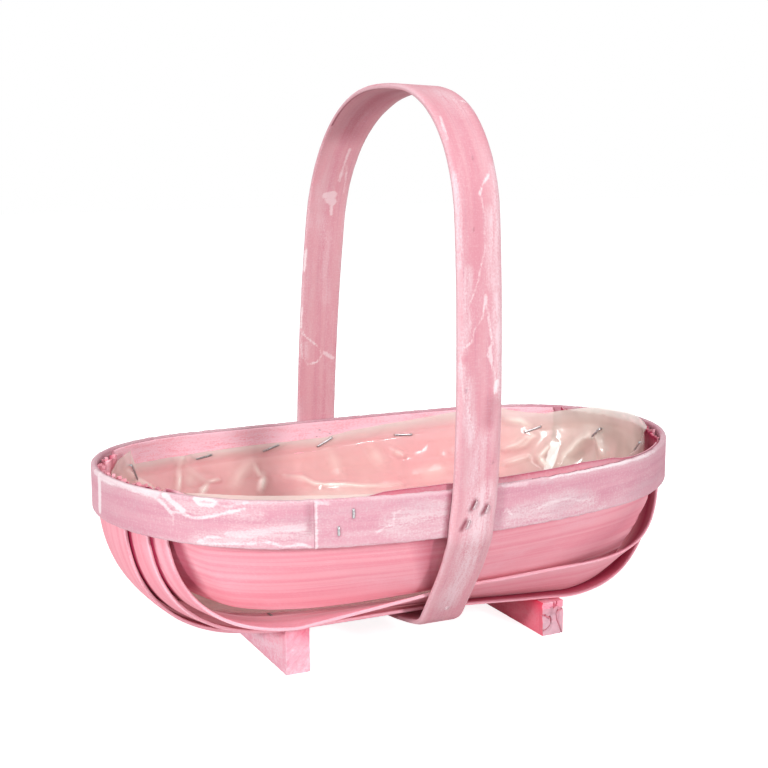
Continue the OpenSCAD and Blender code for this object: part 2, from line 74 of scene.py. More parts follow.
class Finish:
    def __init__(self, name, **plain):
        self.material = bpy.data.materials.new(name)
        self.material.use_nodes = True
        self.tree = self.material.node_tree
        self.surface = self.tree.nodes["Principled BSDF"]
        self.give(**plain)

    @classmethod
    def around(cls, tree):
        finish = cls.__new__(cls)
        finish.tree = tree
        return finish

    def feed(self, socket, value):
        if isinstance(value, Wire):
            self.tree.links.new(value.socket, socket)
        else:
            socket.default_value = value

    def add(self, kind, settings, sockets, out=0):
        node = self.tree.nodes.new("ShaderNode" + kind)
        for key, value in settings.items():
            setattr(node, key, value)
        for key, value in sockets.items():
            self.feed(node.inputs[key], value)
        return Wire(self, node.outputs[out])

    def maths(self, operation, *values):
        return self.add("Math", {"operation": operation}, dict(enumerate(values)))

    def mix(self, factor, a, b):
        settings = {"data_type": "RGBA", "clamp_factor": True}
        return self.add("Mix", settings, {0: factor, 6: a, 7: b}, out=2)

    def ramp(self, value, low, high):
        sockets = {"Value": value, "From Min": low, "From Max": high}
        return self.add("MapRange", {"interpolation_type": "SMOOTHSTEP"}, sockets)

    def field(self, name, out="Fac"):
        return self.add("Attribute", {"attribute_name": name}, {}, out=out)

    def cloud(self, vector, scales, detail=3.0, roughness=0.55):
        place = self.add("VectorMath", {"operation": "MULTIPLY"}, {0: vector, 1: scales})
        sockets = {"Vector": place, "Scale": 1.0, "Detail": detail, "Roughness": roughness}
        return self.add("TexNoise", {}, sockets)

    def bump(self, height, strength, distance):
        return self.add("Bump", {}, {"Height": height, "Strength": strength, "Distance": distance})

    def give(self, **values):
        for socket, value in values.items():
            self.feed(self.surface.inputs[socket.replace("_", " ")], value)
        return self.material


# Stained wood under a brushed white wash; colours are linear. Its stain and shade field also carries painted
# shade, its veil field painted light, and its wash field some painted highlights
def stainedWood(name, look):
    f = Finish(name, Specular_IOR_Level=0.3)
    grain = f.field("grain", "Vector")
    wear, washAndHighlight, coat, veilAndLight, stainAndShade = (f.field(key) for key in ("wear", "washAndHighlight", "coat", "veilAndLight", "stainAndShade"))
    bands = f.cloud(grain, look["bands"], 2.0)
    streaks = f.cloud(grain, look["streaks"], 4.0, 0.65)
    mottle = f.cloud(grain, look["mottle"], 4.0)
    brushed = f.cloud(grain, look["brushed"], 4.0, 0.7)
    tooth = f.cloud(grain, look["tooth"], 1.0)
    wander = f.cloud(grain, look["wander"], 2.0)
    hatch = f.cloud(grain, look["hatch"], 2.0)
    soil = f.cloud(grain, look["soilPatch"])
    colour = f.mix(f.ramp(bands, 0.36, 0.66), look["base"], look["deep"])
    colour = f.mix(f.ramp(streaks, 0.5, 0.78) * look["streakDepth"], colour, look["dark"])
    thin = f.ramp(mottle, 0.4, 0.72) * look["haze"] + veilAndLight * look["veilAndLight"]
    thin = thin * f.ramp(brushed * 0.65 + tooth * 0.35, 0.3, 0.64)
    speckle = f.ramp(tooth * 0.5 + hatch * 0.5, 0.46, 0.68) * look["speckle"]
    colour = f.mix(thin + speckle, colour, look["pale"])
    colour = f.mix(f.ramp(soil + (hatch - 0.5) * 0.3, 0.5, 0.72) * look["soilDepth"], colour, look["soil"])
    edge = wear * look["edge"] * f.ramp(mottle + (tooth - 0.5) * 0.4, 0.3, 0.6)
    colour = f.mix(edge, colour, look["pale"])
    brushedEdge = (wander - 0.5) * 1.6 + (brushed - 0.5) * 1.6 + (tooth - 0.5) * 0.9
    paint = f.ramp(washAndHighlight + brushedEdge, -0.5, 0.8) * coat
    colour = f.mix(paint, colour, look["white"])
    colour = f.mix(stainAndShade, colour, look["stainAndShade"])
    height = streaks * 0.4 + brushed * 0.3 + tooth * 0.2 + hatch * 0.2 + paint * 0.5
    normal = f.bump(height, look["relief"], 0.3 * mm)
    return f.give(Base_Color=colour, Roughness=0.68 + streaks * 0.1 - paint * 0.12, Normal=normal)


rimLook = {
    "base": (0.66, 0.33, 0.40, 1), "deep": (0.61, 0.27, 0.345, 1), "dark": (0.49, 0.20, 0.285, 1),
    "pale": (0.72, 0.525, 0.565, 1), "white": (0.86, 0.745, 0.77, 1), "stainAndShade": (0.18, 0.006, 0.03, 1),
    "soil": (0.58, 0.36, 0.42, 1), "soilPatch": (26, 80, 30), "soilDepth": 0.4, "hatch": (1300, 260, 60),
    "bands": (7, 190, 9), "streaks": (16, 1100, 60), "mottle": (30, 70, 34), "brushed": (60, 480, 60),
    "tooth": (800, 1200, 800), "wander": (150, 190, 150), "streakDepth": 0.35, "haze": 0.4, "veilAndLight": 1.05,
    "speckle": 0.35, "edge": 0.7, "relief": 0.35,
}
handleLook = dict(
    rimLook, base=(0.675, 0.33, 0.375, 1), deep=(0.64, 0.265, 0.32, 1), pale=(0.76, 0.545, 0.59, 1),
    bands=(5, 150, 9), mottle=(22, 80, 34), soil=(0.66, 0.42, 0.46, 1), soilPatch=(16, 90, 30), soilDepth=0.3,
    streakDepth=0.5, haze=0.35, veilAndLight=1.0, speckle=0.18, edge=0.6, relief=0.22,
)
boardLook = dict(
    rimLook, base=(0.88, 0.39, 0.455, 1), deep=(0.84, 0.30, 0.37, 1), dark=(0.70, 0.18, 0.26, 1),
    pale=(0.91, 0.56, 0.64, 1), stainAndShade=(0.31, 0.011, 0.052, 1), bands=(4, 330, 9), streaks=(7, 1300, 60),
    streakDepth=0.5, haze=0.3, veilAndLight=0.9, soilDepth=0.0, speckle=0.12, edge=0.8, relief=0.25,
)
footLook = dict(
    rimLook, base=(0.88, 0.44, 0.54, 1), deep=(0.82, 0.32, 0.43, 1), dark=(0.60, 0.16, 0.25, 1),
    pale=(0.90, 0.62, 0.70, 1), stainAndShade=(0.92, 0.05, 0.12, 1), white=(0.60, 0.385, 0.44, 1), bands=(60, 60, 60),
    streaks=(90, 1100, 420), mottle=(90, 90, 90), brushed=(300, 300, 300), soilDepth=0.1, streakDepth=0.6,
    haze=0.5, edge=0.5, relief=0.5,
)
rimWood = stainedWood("rimWood", rimLook)
handleWood = stainedWood("handleWood", handleLook)
boardWood = stainedWood("boardWood", boardLook)
footWood = stainedWood("footWood", footLook)


def stapleSteel(name, dull, bright, metal):
    f = Finish(name, Metallic=metal)
    scuff = f.cloud(f.add("TexCoord", {}, {}, out="Object"), (900, 900, 900))
    colour = f.mix(f.ramp(scuff, 0.35, 0.7), dull, bright)
    return f.give(Base_Color=colour, Roughness=0.28 + scuff * 0.22)


# The liner's film, with painted highlights along its creases
def linerFilm(look):
    f = Finish("linerFilm", IOR=1.5, Specular_IOR_Level=0.6, Coat_Roughness=0.12, Coat_Weight=0.4)
    grain = f.field("grain", "Vector")
    hem, foldHighlight, paneLight, bunchedAndShaded = (f.field(key) for key in ("wear", "washAndHighlight", "veilAndLight", "coat"))
    haze = f.ramp(f.cloud(grain, (24, 24, 24)), 0.35, 0.75)
    light = f.maths("MAXIMUM", f.ramp(foldHighlight, -0.4, 0.5), paneLight)
    thick = f.maths("MAXIMUM", hem, bunchedAndShaded)
    colour = f.mix(bunchedAndShaded, look["body"], look["bunchedAndShaded"])
    colour = f.mix(hem, colour, look["hem"])
    colour = f.mix(light, colour, look["creaseHighlight"])
    alpha = look["alpha"] + haze * look["hazeAlpha"] + thick * look["thickAlpha"]
    alpha = alpha + light * look["highlightAlpha"]
    crinkle = f.bump(f.cloud(grain, (70, 70, 70), 4.0, 0.5), 0.2, 1.2 * mm)
    return f.give(Base_Color=colour, Alpha=alpha, Roughness=0.16 + haze * 0.1, Normal=crinkle)


filmLook = {
    "body": (0.87, 0.60, 0.535, 1), "bunchedAndShaded": (0.79, 0.70, 0.615, 1), "hem": (0.84, 0.79, 0.72, 1),
    "creaseHighlight": (0.99, 0.90, 0.82, 1), "alpha": 0.38, "hazeAlpha": 0.14, "thickAlpha": 0.22, "highlightAlpha": 0.5,
}
steel = stapleSteel("stapleSteel", (0.30, 0.30, 0.31, 1), (0.52, 0.52, 0.53, 1), 1.0)
washedSteel = stapleSteel("washedSteel", (0.44, 0.29, 0.32, 1), (0.64, 0.48, 0.51, 1), 0.25)
film = linerFilm(filmLook)
print("materials made")


def unit(v):
    return v / np.linalg.norm(v, axis=-1, keepdims=True)


def ripple(*place):
    return noise.noise(Vector(place))


# Share from 0 at the start to 1 at the stop
def ramp(values, start, stop):
    return np.clip((values - start) / (stop - start), 0, 1)


def corners(node):
    return [Vector(corner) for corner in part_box(node)]


def link(thing):
    bpy.context.scene.collection.objects.link(thing)
    return thing


def meshPiece(name, points, faces, material, fields):
    mesh = bpy.data.meshes.new(name)
    mesh.from_pydata([tuple(p) for p in points], [], faces)
    bm = bmesh.new()
    bm.from_mesh(mesh)
    bmesh.ops.recalc_face_normals(bm, faces=bm.faces)
    bm.to_mesh(mesh)
    bm.free()
    for field, values in fields.items():
        kind, key = ("FLOAT_VECTOR", "vector") if field == "grain" else ("FLOAT", "value")
        mesh.attributes.new(field, kind, "POINT").data.foreach_set(key, np.ravel(values))
    mesh.shade_smooth()
    mesh.set_sharp_from_angle(angle=math.radians(sharpAngle))
    mesh.materials.append(material)
    return link(bpy.data.objects.new(name, mesh))


# Quads between rings of points that close on themselves
def ringQuads(rings, sides, start=0):
    index = start + np.arange(rings * sides).reshape(rings, sides)
    after = np.roll(index, -1, 1)
    return np.stack([index[:-1], after[:-1], after[1:], index[1:]], -1).reshape(-1, 4).tolist()


def rodFaces(rings, sides, start):
    ends = [[first + k for k in range(sides)] for first in (start, start + (rings - 1) * sides)]
    return ringQuads(rings, sides, start) + ends


def settle(piece, node):
    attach(piece, "root")
    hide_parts(node)


# Strokes on a strip, among them painted shade, painted light and painted highlights. A stroke is its half
# width, its cover, and places along and across the strip, in mm.
# The white wash is kept as mm inside its strokes' edges, with its cover; veils and stains are soft
def brushWash(along, across, strokes):
    fields = {kind: np.zeros(along.shape) for kind in ("coat", "veilAndLight", "stainAndShade")}
    fields["washAndHighlight"] = np.full(along.shape, bare)
    for kind, group in strokes.items():
        for half, cover, *path in group:
            path = np.array(path) * mm
            gap = np.full(along.shape, 1.0)
            for a, b in zip(path[:-1], path[1:]):
                step = b - a
                t = np.clip(((along - a[0]) * step[0] + (across - a[1]) * step[1]) / (step @ step), 0, 1)
                gap = np.minimum(gap, np.hypot(along - a[0] - t * step[0], across - a[1] - t * step[1]))
            if kind == "washAndHighlight":
                inside = half - gap / mm
                nearest = inside > fields["washAndHighlight"]
                fields["washAndHighlight"] = np.where(nearest, inside, fields["washAndHighlight"])
                fields["coat"] = np.where(nearest, cover, fields["coat"])
            else:
                fields[kind] = np.maximum(fields[kind], cover * np.clip(1 - gap / (half * mm), 0, 1))
    return fields


# Places across a strip, close together at its rounded edges
def lanes(width, rounding, count):
    half = width / 2
    edge = [rounding * share for share in (0, 0.12, 0.45, 1)]
    inner = np.linspace(-half + rounding, half - rounding, count)[1:-1]
    return np.concatenate([[-half + e for e in edge], inner, [half - e for e in reversed(edge)]])


# Weathering of thin wood: reach of the worn edge, and lengths of its waves, splinters and tears
weather = {
    "worn": 2.2 * mm, "frayFrom": 0.3, "waveLength": 45 * mm, "waveWidth": 30 * mm, "splinter": 1.6 * mm,
    "sliver": 6 * mm, "tear": 4 * mm, "nick": 1.6 * mm, "curl": 5 * mm, "blot": 3 * mm,
    "tornRows": (1, 0.6, 0.25), "deepest": 0.45,
}


# Waves over a strip, and splinters along its two edges
def roughen(outer, inward, along, across, wear, spec, seed):
    sideways = unit(np.gradient(outer, axis=1))
    fray, wave = np.zeros(outer.shape[:2]), np.zeros(outer.shape[:2])
    for i, s in enumerate(along):
        for j, a in enumerate(across):
            wave[i, j] = spec["wave"] * ripple(s / weather["waveLength"], a / weather["waveWidth"], seed)
            if wear[j] > weather["frayFrom"]:
                edge = np.sign(a)
                fine = ripple(s / weather["splinter"], 7 * edge, seed) * 0.5
                fine += ripple(s / weather["sliver"], 7 * edge, seed + 3) * 0.8
                fray[i, j] = fine * spec["fray"] * wear[j] * edge
    return outer + fray[..., None] * sideways + wave[..., None] * inward


# Torn and curled ends, and the stain that they soak up
def tearEnds(outer, inward, across, ragged, seed):
    soaked = np.zeros(outer.shape[:2])
    endways = unit(np.gradient(outer, axis=0))
    for depth, share in enumerate(weather["tornRows"]):
        for i, way in ((depth, -1), (len(outer) - 1 - depth, 1)):
            for j, a in enumerate(across):
                tear = ripple(a / weather["tear"], way * 5, seed) + 0.6
                tear += 0.6 * ripple(a / weather["nick"], way * 9, seed)
                curl = 0.7 * ripple(a / weather["curl"], way * 3, seed + 5)
                outer[i, j] += share * ragged * (way * tear * endways[i, j] + curl * inward[i, j])
                soaked[i, j] = share * np.clip(0.12 + ripple(a / weather["blot"], way * 7, seed), 0, 0.7)
    return soaked


# A thin strip or board from outer points and inward ways on a grid, with rounded and rough edges
def veneer(name, outer, inward, along, across, spec, material, top=None, bottom=None, seed=0.0, stainAndShade=None):
    rows, columns = outer.shape[:2]
    gap = abs(across).max() - abs(across)
    rounding = spec["rounding"]
    curve = rounding - np.sqrt(rounding**2 - np.clip(rounding - gap, 0, rounding) ** 2)
    slope = spec.get("bevelDepth", 0) * np.maximum(0, 1 - gap / spec.get("bevel", rounding))
    top = np.zeros(rows) if top is None else top
    bottom = np.full(rows, spec["thickness"]) if bottom is None else bottom
    limit = weather["deepest"] * (bottom - top)[:, None]
    wear = np.clip(1 - gap / weather["worn"], 0, 1)
    outer = roughen(outer, inward, along, across, wear, spec, seed)
    soaked = np.zeros((rows, columns))
    if "ragged" in spec:
        soaked = tearEnds(outer, inward, across, spec["ragged"], seed)
    faceOut = outer + (top[:, None] + np.minimum(curve + slope, limit))[..., None] * inward
    faceIn = outer + (bottom[:, None] - np.minimum(curve, limit))[..., None] * inward
    ring = np.concatenate([faceOut, faceIn[:, ::-1]], axis=1)
    count = 2 * columns
    faces = ringQuads(rows, count)
    for first in (0, (rows - 1) * count):
        last = first + count - 1
        faces += [[first + j, first + j + 1, last - 1 - j, last - j] for j in range(columns - 1)]
    alongs, acrosses = np.meshgrid(along, across, indexing="ij")
    sides = []
    for inside, strokes in enumerate((spec["strokes"], spec["insideStrokes"])):
        fields = brushWash(alongs, acrosses, strokes)
        fields["stainAndShade"] = np.maximum(fields["stainAndShade"], soaked)
        if stainAndShade is not None and not inside:
            fields["stainAndShade"] = np.maximum(fields["stainAndShade"], stainAndShade)
        fields["wear"] = np.repeat(wear[None, :], rows, 0)
        fields["grain"] = np.stack([alongs + seed, acrosses, np.full((rows, columns), 0.3 * inside)], -1)
        sides.append(fields)
    fields = {key: np.concatenate([sides[0][key], sides[1][key][:, ::-1]], 1) for key in sides[0]}
    return meshPiece(name, ring.reshape(-1, 3), faces, material, fields)


# Rim: an oval plan of two flat side arcs and two round end arcs, from a strip whose ends lap
rimLow, rimHigh = corners("rim_hoop")
middleY = (rimLow.y + rimHigh.y) / 2
toMiddle = np.array([0, middleY, 0])
rim = {
    "halfLength": (rimHigh.x - rimLow.x) / 2, "halfWidth": (rimHigh.y - rimLow.y) / 2, "low": rimLow.z,
    "endRadius": 96 * mm, "height": 24 * mm, "thickness": 3.4 * mm, "sheer": 5 * mm, "lapAt": -86 * mm,
    "lap": 120 * mm, "feather": 1 * mm, "proud": 0.3 * mm, "seam": 0.1 * mm, "rounding": 1.1 * mm,
    "wave": 0.25 * mm, "fray": 0.45 * mm, "step": 1.0 * mm, "lanes": 24, "signed": True,
    "strokes": {
        "washAndHighlight": [
            (2.6, 0.85, (-217, 12), (-217, 2.7), (-218, -7)),
            (1.0, 0.75, (-224, 11.6), (-213, 10), (-201, 10.3), (-190, 11.2), (-181, 10.1), (-168, 9.8),
             (-164, 7.9), (-160, 5), (-157, 2.4)),
            (2.2, 0.5, (-226, 11.8), (-196, 11.8), (-166, 11.2)),
            (1.8, 0.75, (-161, 11), (-156, 8), (-151, 4.6)),
            (0.4, 0.6, (-156.4, 2), (-156.5, -3)),
            (0.8, 0.8, (-157, 3), (-153, 3.6), (-150, 2.9), (-146, 1.6), (-141, 2), (-134, 3.8),
             (-126, 6.2), (-119, 8.3)),
            (0.8, 0.8, (-144.4, 11), (-141, 8.5), (-135.5, 8.5), (-133, 10.6), (-138, 11.6), (-144, 11)),
            (0.6, 0.6, (-133, 9.9), (-127.7, 8.7), (-122.5, 9.8), (-118, 11.3)),
            (1.8, 0.35, (-128, -5.2), (-114, -4), (-104, -1.6), (-91, -1.2)),
            (0.5, 0.7, (-143, -10), (-138, -7.4), (-130, -6.5), (-122, -6)),
            (0.7, 0.75, (-142, -10.6), (-130, -9.8), (-119, -9.2), (-108, -8)),
            (0.4, 0.4, (-123, -4.6), (-115, -2.4), (-100, -0.6), (-90, 0.4)),
            (0.8, 0.8, (-108, -8), (-101.6, -10.4), (-92, -9.6), (-88, -11.5)),
            # White paint and a painted highlight along the lap's raised end and its top corner
            (0.7, 0.75, (-85, 10.6), (-85, -11.8)),
            (0.8, 0.6, (-85, 10.8), (-79, 10.2)),
            (0.6, 0.7, (-55, -6), (-51, -3.6), (-46.4, -2.2), (-45.7, 1.5), (-46, 3.2), (-43, 3.9)),
            (0.5, 0.5, (15, -2.9), (17, -1), (20, -4.7)),
            (0.6, 0.45, (36, -3.8), (43, -1.8), (56, -1.5), (70, -5.4)),
            # Painted highlight along the top edge at the right
            (0.8, 0.8, (44, 11.7), (61, 11.8), (76, 11.5), (97, 11.5), (112, 11.3), (127, 11)),
            (1.0, 0.4, (15, 10.9), (29, 10.3)),
            (0.9, 0.7, (214, 11), (226, 8), (240, 10), (262, 6)),
            (1.6, 0.7, (236, 9), (237, -5)),
            (0.8, 0.7, (300, 10), (318, 8), (330, 4), (352, 6)),
            (0.9, 0.75, (-350, 9), (-333, 6), (-318, 8), (-300, 3), (-288, 4)),
        ],
        "veilAndLight": [
            (5, 1.1, (-232, 12), (-190, 12.5), (-165, 11.5)),
            (4, 0.9, (-164, 10), (-140, 6), (-112, 5)),
            (3, 0.7, (-153, 5), (-140, 4), (-126, 8)),
            (3, 0.9, (-142, 10), (-135, 10)),
            (3, 0.8, (-125, 11.5), (-86, 11.8)),
            (7, 1.2, (-142, -10.5), (-130, -8), (-117, -5.5), (-100, -3.5), (-89, -3.5)),
            (2.4, 0.6, (-70, -6), (-56, -5.4)),
            (9, 1.1, (-48, -3), (-36, 0.5), (-20, 1)),
            (5, 0.8, (-45, -8), (-18, -7)),
            (7, 1.1, (20, -6), (43, -2), (56, -2), (72, -5.5)),
            (5, 0.8, (18, -8), (46, -8), (80, -10)),
            # Soft painted highlight along the top edge at the right
            (3, 0.7, (40, 11), (130, 11)),
            (7, 0.9, (170, 4), (188, -2), (206, 1)),
            (8, 1.0, (290, -6), (325, -2), (360, -5)),
            (8, 1.0, (-395, 2), (-372, -3), (-340, 0)),
            (6, 0.9, (-270, -8), (-250, -5)),
        ],
        "stainAndShade": [
            # Painted shade left of the lap's raised end
            (3.2, 0.3, (-88.2, 9), (-88, -3)),
            (1.5, 0.4, (-74, -5.9), (-74, -1.9)),
            (1.5, 0.4, (-66.5, 2.5), (-66.5, 6.5)),
            # Painted shadow of the handle on the rim, beside its left edge
            (3.0, 0.75, (-18.2, -11.5), (-15.6, 10)),
            # Painted shade toward the right end
            (30, 0.1, (135, 0), (215, 0)),
        ],
    },
    "insideStrokes": {
        "veilAndLight": [
            (14, 0.8, (-447, 4), (-250, 4)),
        ],
        "stainAndShade": [
            # Painted shade along the inner top edge, below where the front side board stands above the rim
            (1.0, 0.7, (-40, 12), (130, 12)),
            (40, 0.28, (230, 0), (447, 0)),
            (40, 0.28, (-447, 0), (-230, 0)),
        ],
    },
}
endCentre = rim["halfLength"] - rim["endRadius"]
spare = rim["halfWidth"] - rim["endRadius"]
sideCentre = (endCentre**2 - spare**2) / (2 * spare)
sideRadius = rim["halfWidth"] + sideCentre
endTurn = math.atan2(sideCentre, endCentre)
sideArc = sideRadius * (math.pi / 2 - endTurn)
endArc = rim["endRadius"] * endTurn
perimeter = 4 * (sideArc + endArc)
rimTop = rim["low"] + rim["height"]


# Way outward at a distance along the rim, from the front's middle to the right
def rimTurn(s):
    s = s % perimeter
    if s < sideArc:
        return -math.pi / 2 + s / sideRadius
    if s < sideArc + 2 * endArc:
        return -endTurn + (s - sideArc) / rim["endRadius"]
    if s < 3 * sideArc + 2 * endArc:
        return endTurn + (s - sideArc - 2 * endArc) / sideRadius
    if s < 3 * sideArc + 4 * endArc:
        return math.pi - endTurn + (s - 3 * sideArc - 2 * endArc) / rim["endRadius"]
    return math.pi + endTurn + (s - 3 * sideArc - 4 * endArc) / sideRadius


# Place on the plan with this way outward, some way inside the rim's outer face
def plan(turn, inside):
    turn = (turn + math.pi / 2) % (2 * math.pi) - math.pi / 2
    if abs(turn) <= endTurn:
        centre, radius = (endCentre, 0), rim["endRadius"]
    elif abs(turn - math.pi) <= endTurn:
        centre, radius = (-endCentre, 0), rim["endRadius"]
    else:
        centre, radius = (0, -sideCentre if 0 < turn < math.pi else sideCentre), sideRadius
    reach = radius - inside
    return centre[0] + reach * math.cos(turn), centre[1] + reach * math.sin(turn)


# Rise of the rim toward its two ends
def sheer(x):
    return rim["sheer"] * (x / rim["halfLength"]) ** 2


# A strip bent to a hoop: its ends are cut to a feather and lap on each other
def hoop(name, stationAt, length, spec, width, material):
    across = lanes(width, spec["rounding"], spec["lanes"])
    lapSteps = int(spec["lap"] / spec["step"])
    bodySteps = int((length - spec["lap"]) / spec["step"])
    start = spec["lapAt"]
    share = np.linspace(0, 1, lapSteps)
    lap = start + spec["lap"] * share
    body = np.linspace(start + spec["lap"] + spec["seam"], start + length - spec["seam"], bodySteps)
    along = np.concatenate([lap, body, lap + length])
    thin = spec["feather"] + (spec["thickness"] - 2 * spec["feather"] - clearance) * share
    lift = spec["proud"] * (1 - share) ** 3
    top = np.concatenate([-lift, np.zeros(bodySteps), thin + clearance])
    bottom = np.concatenate([thin - lift, np.full(bodySteps + lapSteps, spec["thickness"])])
    outer = np.zeros((len(along), len(across), 3))
    inward = np.zeros_like(outer)
    for i, s in enumerate(along):
        point, out, side = stationAt(s)
        outer[i] = np.array(point) + across[:, None] * np.array(side)
        inward[i] = -np.array(out)
    if spec["signed"]:
        along = (along + length / 2) % length - length / 2
    return veneer(name, outer, inward, along, across, spec, material, top, bottom)


def rimStation(s):
    turn = rimTurn(s)
    x, y = plan(turn, 0)
    z = rim["low"] + rim["height"] / 2 + sheer(x)
    return (x, y + middleY, z), (math.cos(turn), math.sin(turn), 0), (0, 0, 1)


rimPiece = hoop("rimStrip", rimStation, perimeter, rim, rim["height"], rimWood)
settle(rimPiece, "rim_hoop")
print("rim made")


# Handle: half profile of tangent arcs from the bottom's middle to the top's middle. In its roll and strokes a
# height stands for a place on the front leg, and a height with a minus for one on the back leg
handle = {
    "width": 25 * mm, "thickness": 3 * mm, "height": 305.5 * mm, "under": 13 * mm, "lean": 17 * mm,
    "flankSlope": 54, "dishSlope": 13, "bendRadius": 16 * mm, "kinkRadius": 14 * mm, "kinkRise": 3 * mm,
    "legTurn": 9, "frontShoulder": 78 * mm, "backShoulder": 92 * mm, "shoulderTurn": 74, "left": 2 * mm,
    "sway": 2.8 * mm, "swayReach": 16 * mm, "lap": 80 * mm, "feather": 1 * mm, "proud": 0.0,
    "seam": 0.4 * mm, "step": 1.1 * mm, "lanes": 26, "signed": False, "rounding": 0.8 * mm, "bevel": 2.4 * mm,
    "bevelDepth": 0.7 * mm, "wave": 0.3 * mm, "fray": 0.14 * mm,
    "roll": [(290, 0), (304, 3), (-304, 9), (-300, 11), (-290, 8.5), (-275, 4), (-250, 0)],
    "stapleSpots": [(-1.5, 0.67), (5.3, 0.55), (-5.5, 0.27)],
    "strokes": {
        "washAndHighlight": [
            (0.7, 0.75, (258, 7.5), (253, 3.2), (249, 1.4)),
            (0.3, 0.8, (250, 1.6), (241, 2.6), (238, 3.3), (230, 2.6), (222, 2.7), (214, 0.2), (208, -1.2),
             (197, -5.8)),
            (0.4, 0.7, (198, 2.3), (189, 0.6), (184, -3.5), (178, -5.1), (175, -9.2)),
            (1.1, 0.6, (200, 2.8), (196, 2.6)),
            (0.5, 0.7, (197, 3.1), (181, 5.5), (177, 6.8), (171, 3.6), (163, 7.3), (155, 8.6)),
            (1.2, 0.6, (174, 5), (168, 6)),
            (1.3, 0.85, (157, 8.7), (152, 8.3)),
            (0.7, 0.65, (286, -9.3), (280, -10.2), (275, -10.3)),
            (1.0, 0.85, (294.4, 9.2), (293.6, 10.2)),
            (0.5, 0.55, (172, -11.3), (159, -10.6), (149, -8.9), (139, -5.4), (132, -2.8)),
            (0.5, 0.7, (-250, 6), (-228, 3), (-205, 6)),
        ],
        "veilAndLight": [
            (4, 0.9, (196, -8.5), (188, -7.5), (174, -10)),
            (3.5, 0.8, (262, 11), (240, 9.8), (205, 10)),
            (3, 0.9, (258, -11.5), (215, -11.5)),
            (5.5, 1.0, (240, 7), (205, 7)),
            (4, 1.0, (212, -7), (200, -8)),
            (4, 1.1, (200, 8.5), (170, 10), (150, 11)),
            (5, 1.0, (158, -8), (140, -6), (128, -4)),
            (4, 0.8, (165, -10), (142, -7), (128, -3)),
            (8, 0.7, (128, 2), (108, -3)),
            (10, 1.3, (100, 3), (72, 2), (36, -1)),
            (9, 0.6, (290, 5), (299, 0)),
            (7, 0.8, (-180, -6), (-150, -3), (-120, -6)),
        ],
        "stainAndShade": [
            (13, 0.12, (32, 0), (20, 0)),
            (6, 0.24, (147, 7), (138, 5)),
            (0.9, 0.4, (266.3, 0.6), (265.7, 0.6)),
            (0.9, 0.4, (232.3, -3.4), (231.7, -3.4)),
            (1.1, 0.4, (154.4, -8.2), (153.6, -8.2)),
            (0.9, 0.5, (116.4, 8.2), (115.6, 8.2)),
            (2.2, 0.14, (98, 7.8), (62, 8.2)),
            (2.5, 0.12, (118, 9.5), (140, 10.5)),
        ],
    },
    "insideStrokes": {
        "washAndHighlight": [
            (0.8, 0.6, (-274, 5.2), (-265, 5.0), (-254, 4.6)),
            (0.4, 0.6, (-264, 6.7), (-254, 9), (-246, 9.4)),
            (2.3, 0.5, (-245, -2.5), (-245.5, 3)),
            (2.6, 0.5, (-242, 0), (-241, 3)),
            (1.1, 0.5, (-240, 2), (-233, 3)),
            (0.9, 0.85, (-212, -11.6), (-199, -11.9)),
            (0.45, 0.85, (-160, -11.2), (-157, -8.6), (-149, 0.7), (-144, 2.4), (-140, -1), (-139, -6.9),
             (-144, -10.5), (-151, -11.5), (-160, -11.2)),
            (1.3, 0.55, (-146, 3.8), (-142, 10)),
            (0.6, 0.8, (-176, -12), (-163, -12.2)),
        ],
        "veilAndLight": [
            (3, 0.9, (-152, -9), (-144, -8)),
            (6, 0.5, (-230, -2), (-180, 3)),
            # Painted light on the inner face of the back leg
            (40, 0.14, (-290, 0), (-120, 0)),
            (6, 0.6, (250, 4), (222, 0), (190, 3)),
        ],
        "stainAndShade": [
            # Painted shade under the crown
            (16, 0.45, (290, 0), (303, 0), (-303, 0), (-285, 0)),
            (0.9, 0.9, (-287, -11.6), (-300, -11.5), (-305, -11.3), (304, -11.3)),
        ],
    },
}
handleOut = rim["halfWidth"] + clearance + handle["thickness"]


def arc(start, radius, fromSlope, toSlope, steps):
    a = math.radians(fromSlope)
    points = []
    for i in range(1, steps + 1):
        t = a + (math.radians(toSlope) - a) * i / steps
        y = start[0] + radius * (math.sin(t) - math.sin(a))
        points.append((y, start[1] + radius * (math.cos(a) - math.cos(t)), t))
    return points


# Half below the rim: a dish, a bend, a straight flank and the kink up to the leg
def handleProfile():
    flank, dish = math.radians(handle["flankSlope"]), math.radians(handle["dishSlope"])
    kinkY = handle["kinkRadius"] * (1 - math.sin(flank))
    kinkZ = handle["kinkRadius"] * math.cos(flank)
    bendY = handle["bendRadius"] * (math.sin(flank) - math.sin(dish))
    bendZ = handle["bendRadius"] * (math.cos(dish) - math.cos(flank))
    lift = math.tan(dish / 2)
    run = handleOut - kinkY - bendY
    rise = rim["low"] + handle["kinkRise"] - kinkZ - bendZ - handle["under"]
    flankLength = (rise - run * lift) / (math.sin(flank) - math.cos(flank) * lift)
    dishRadius = (run - flankLength * math.cos(flank)) / math.sin(dish)
    lower = [(0, handle["under"], 0)]
    lower += arc(lower[-1], dishRadius, 0, handle["dishSlope"], 30)
    lower += arc(lower[-1], handle["bendRadius"], handle["dishSlope"], handle["flankSlope"], 24)
    y, z, _ = lower[-1]
    lower.append((y + flankLength * math.cos(flank), z + flankLength * math.sin(flank), flank))
    lower += arc(lower[-1], handle["kinkRadius"], handle["flankSlope"], 90, 16)
    return lower + [(handleOut, rimTop, math.pi / 2)]


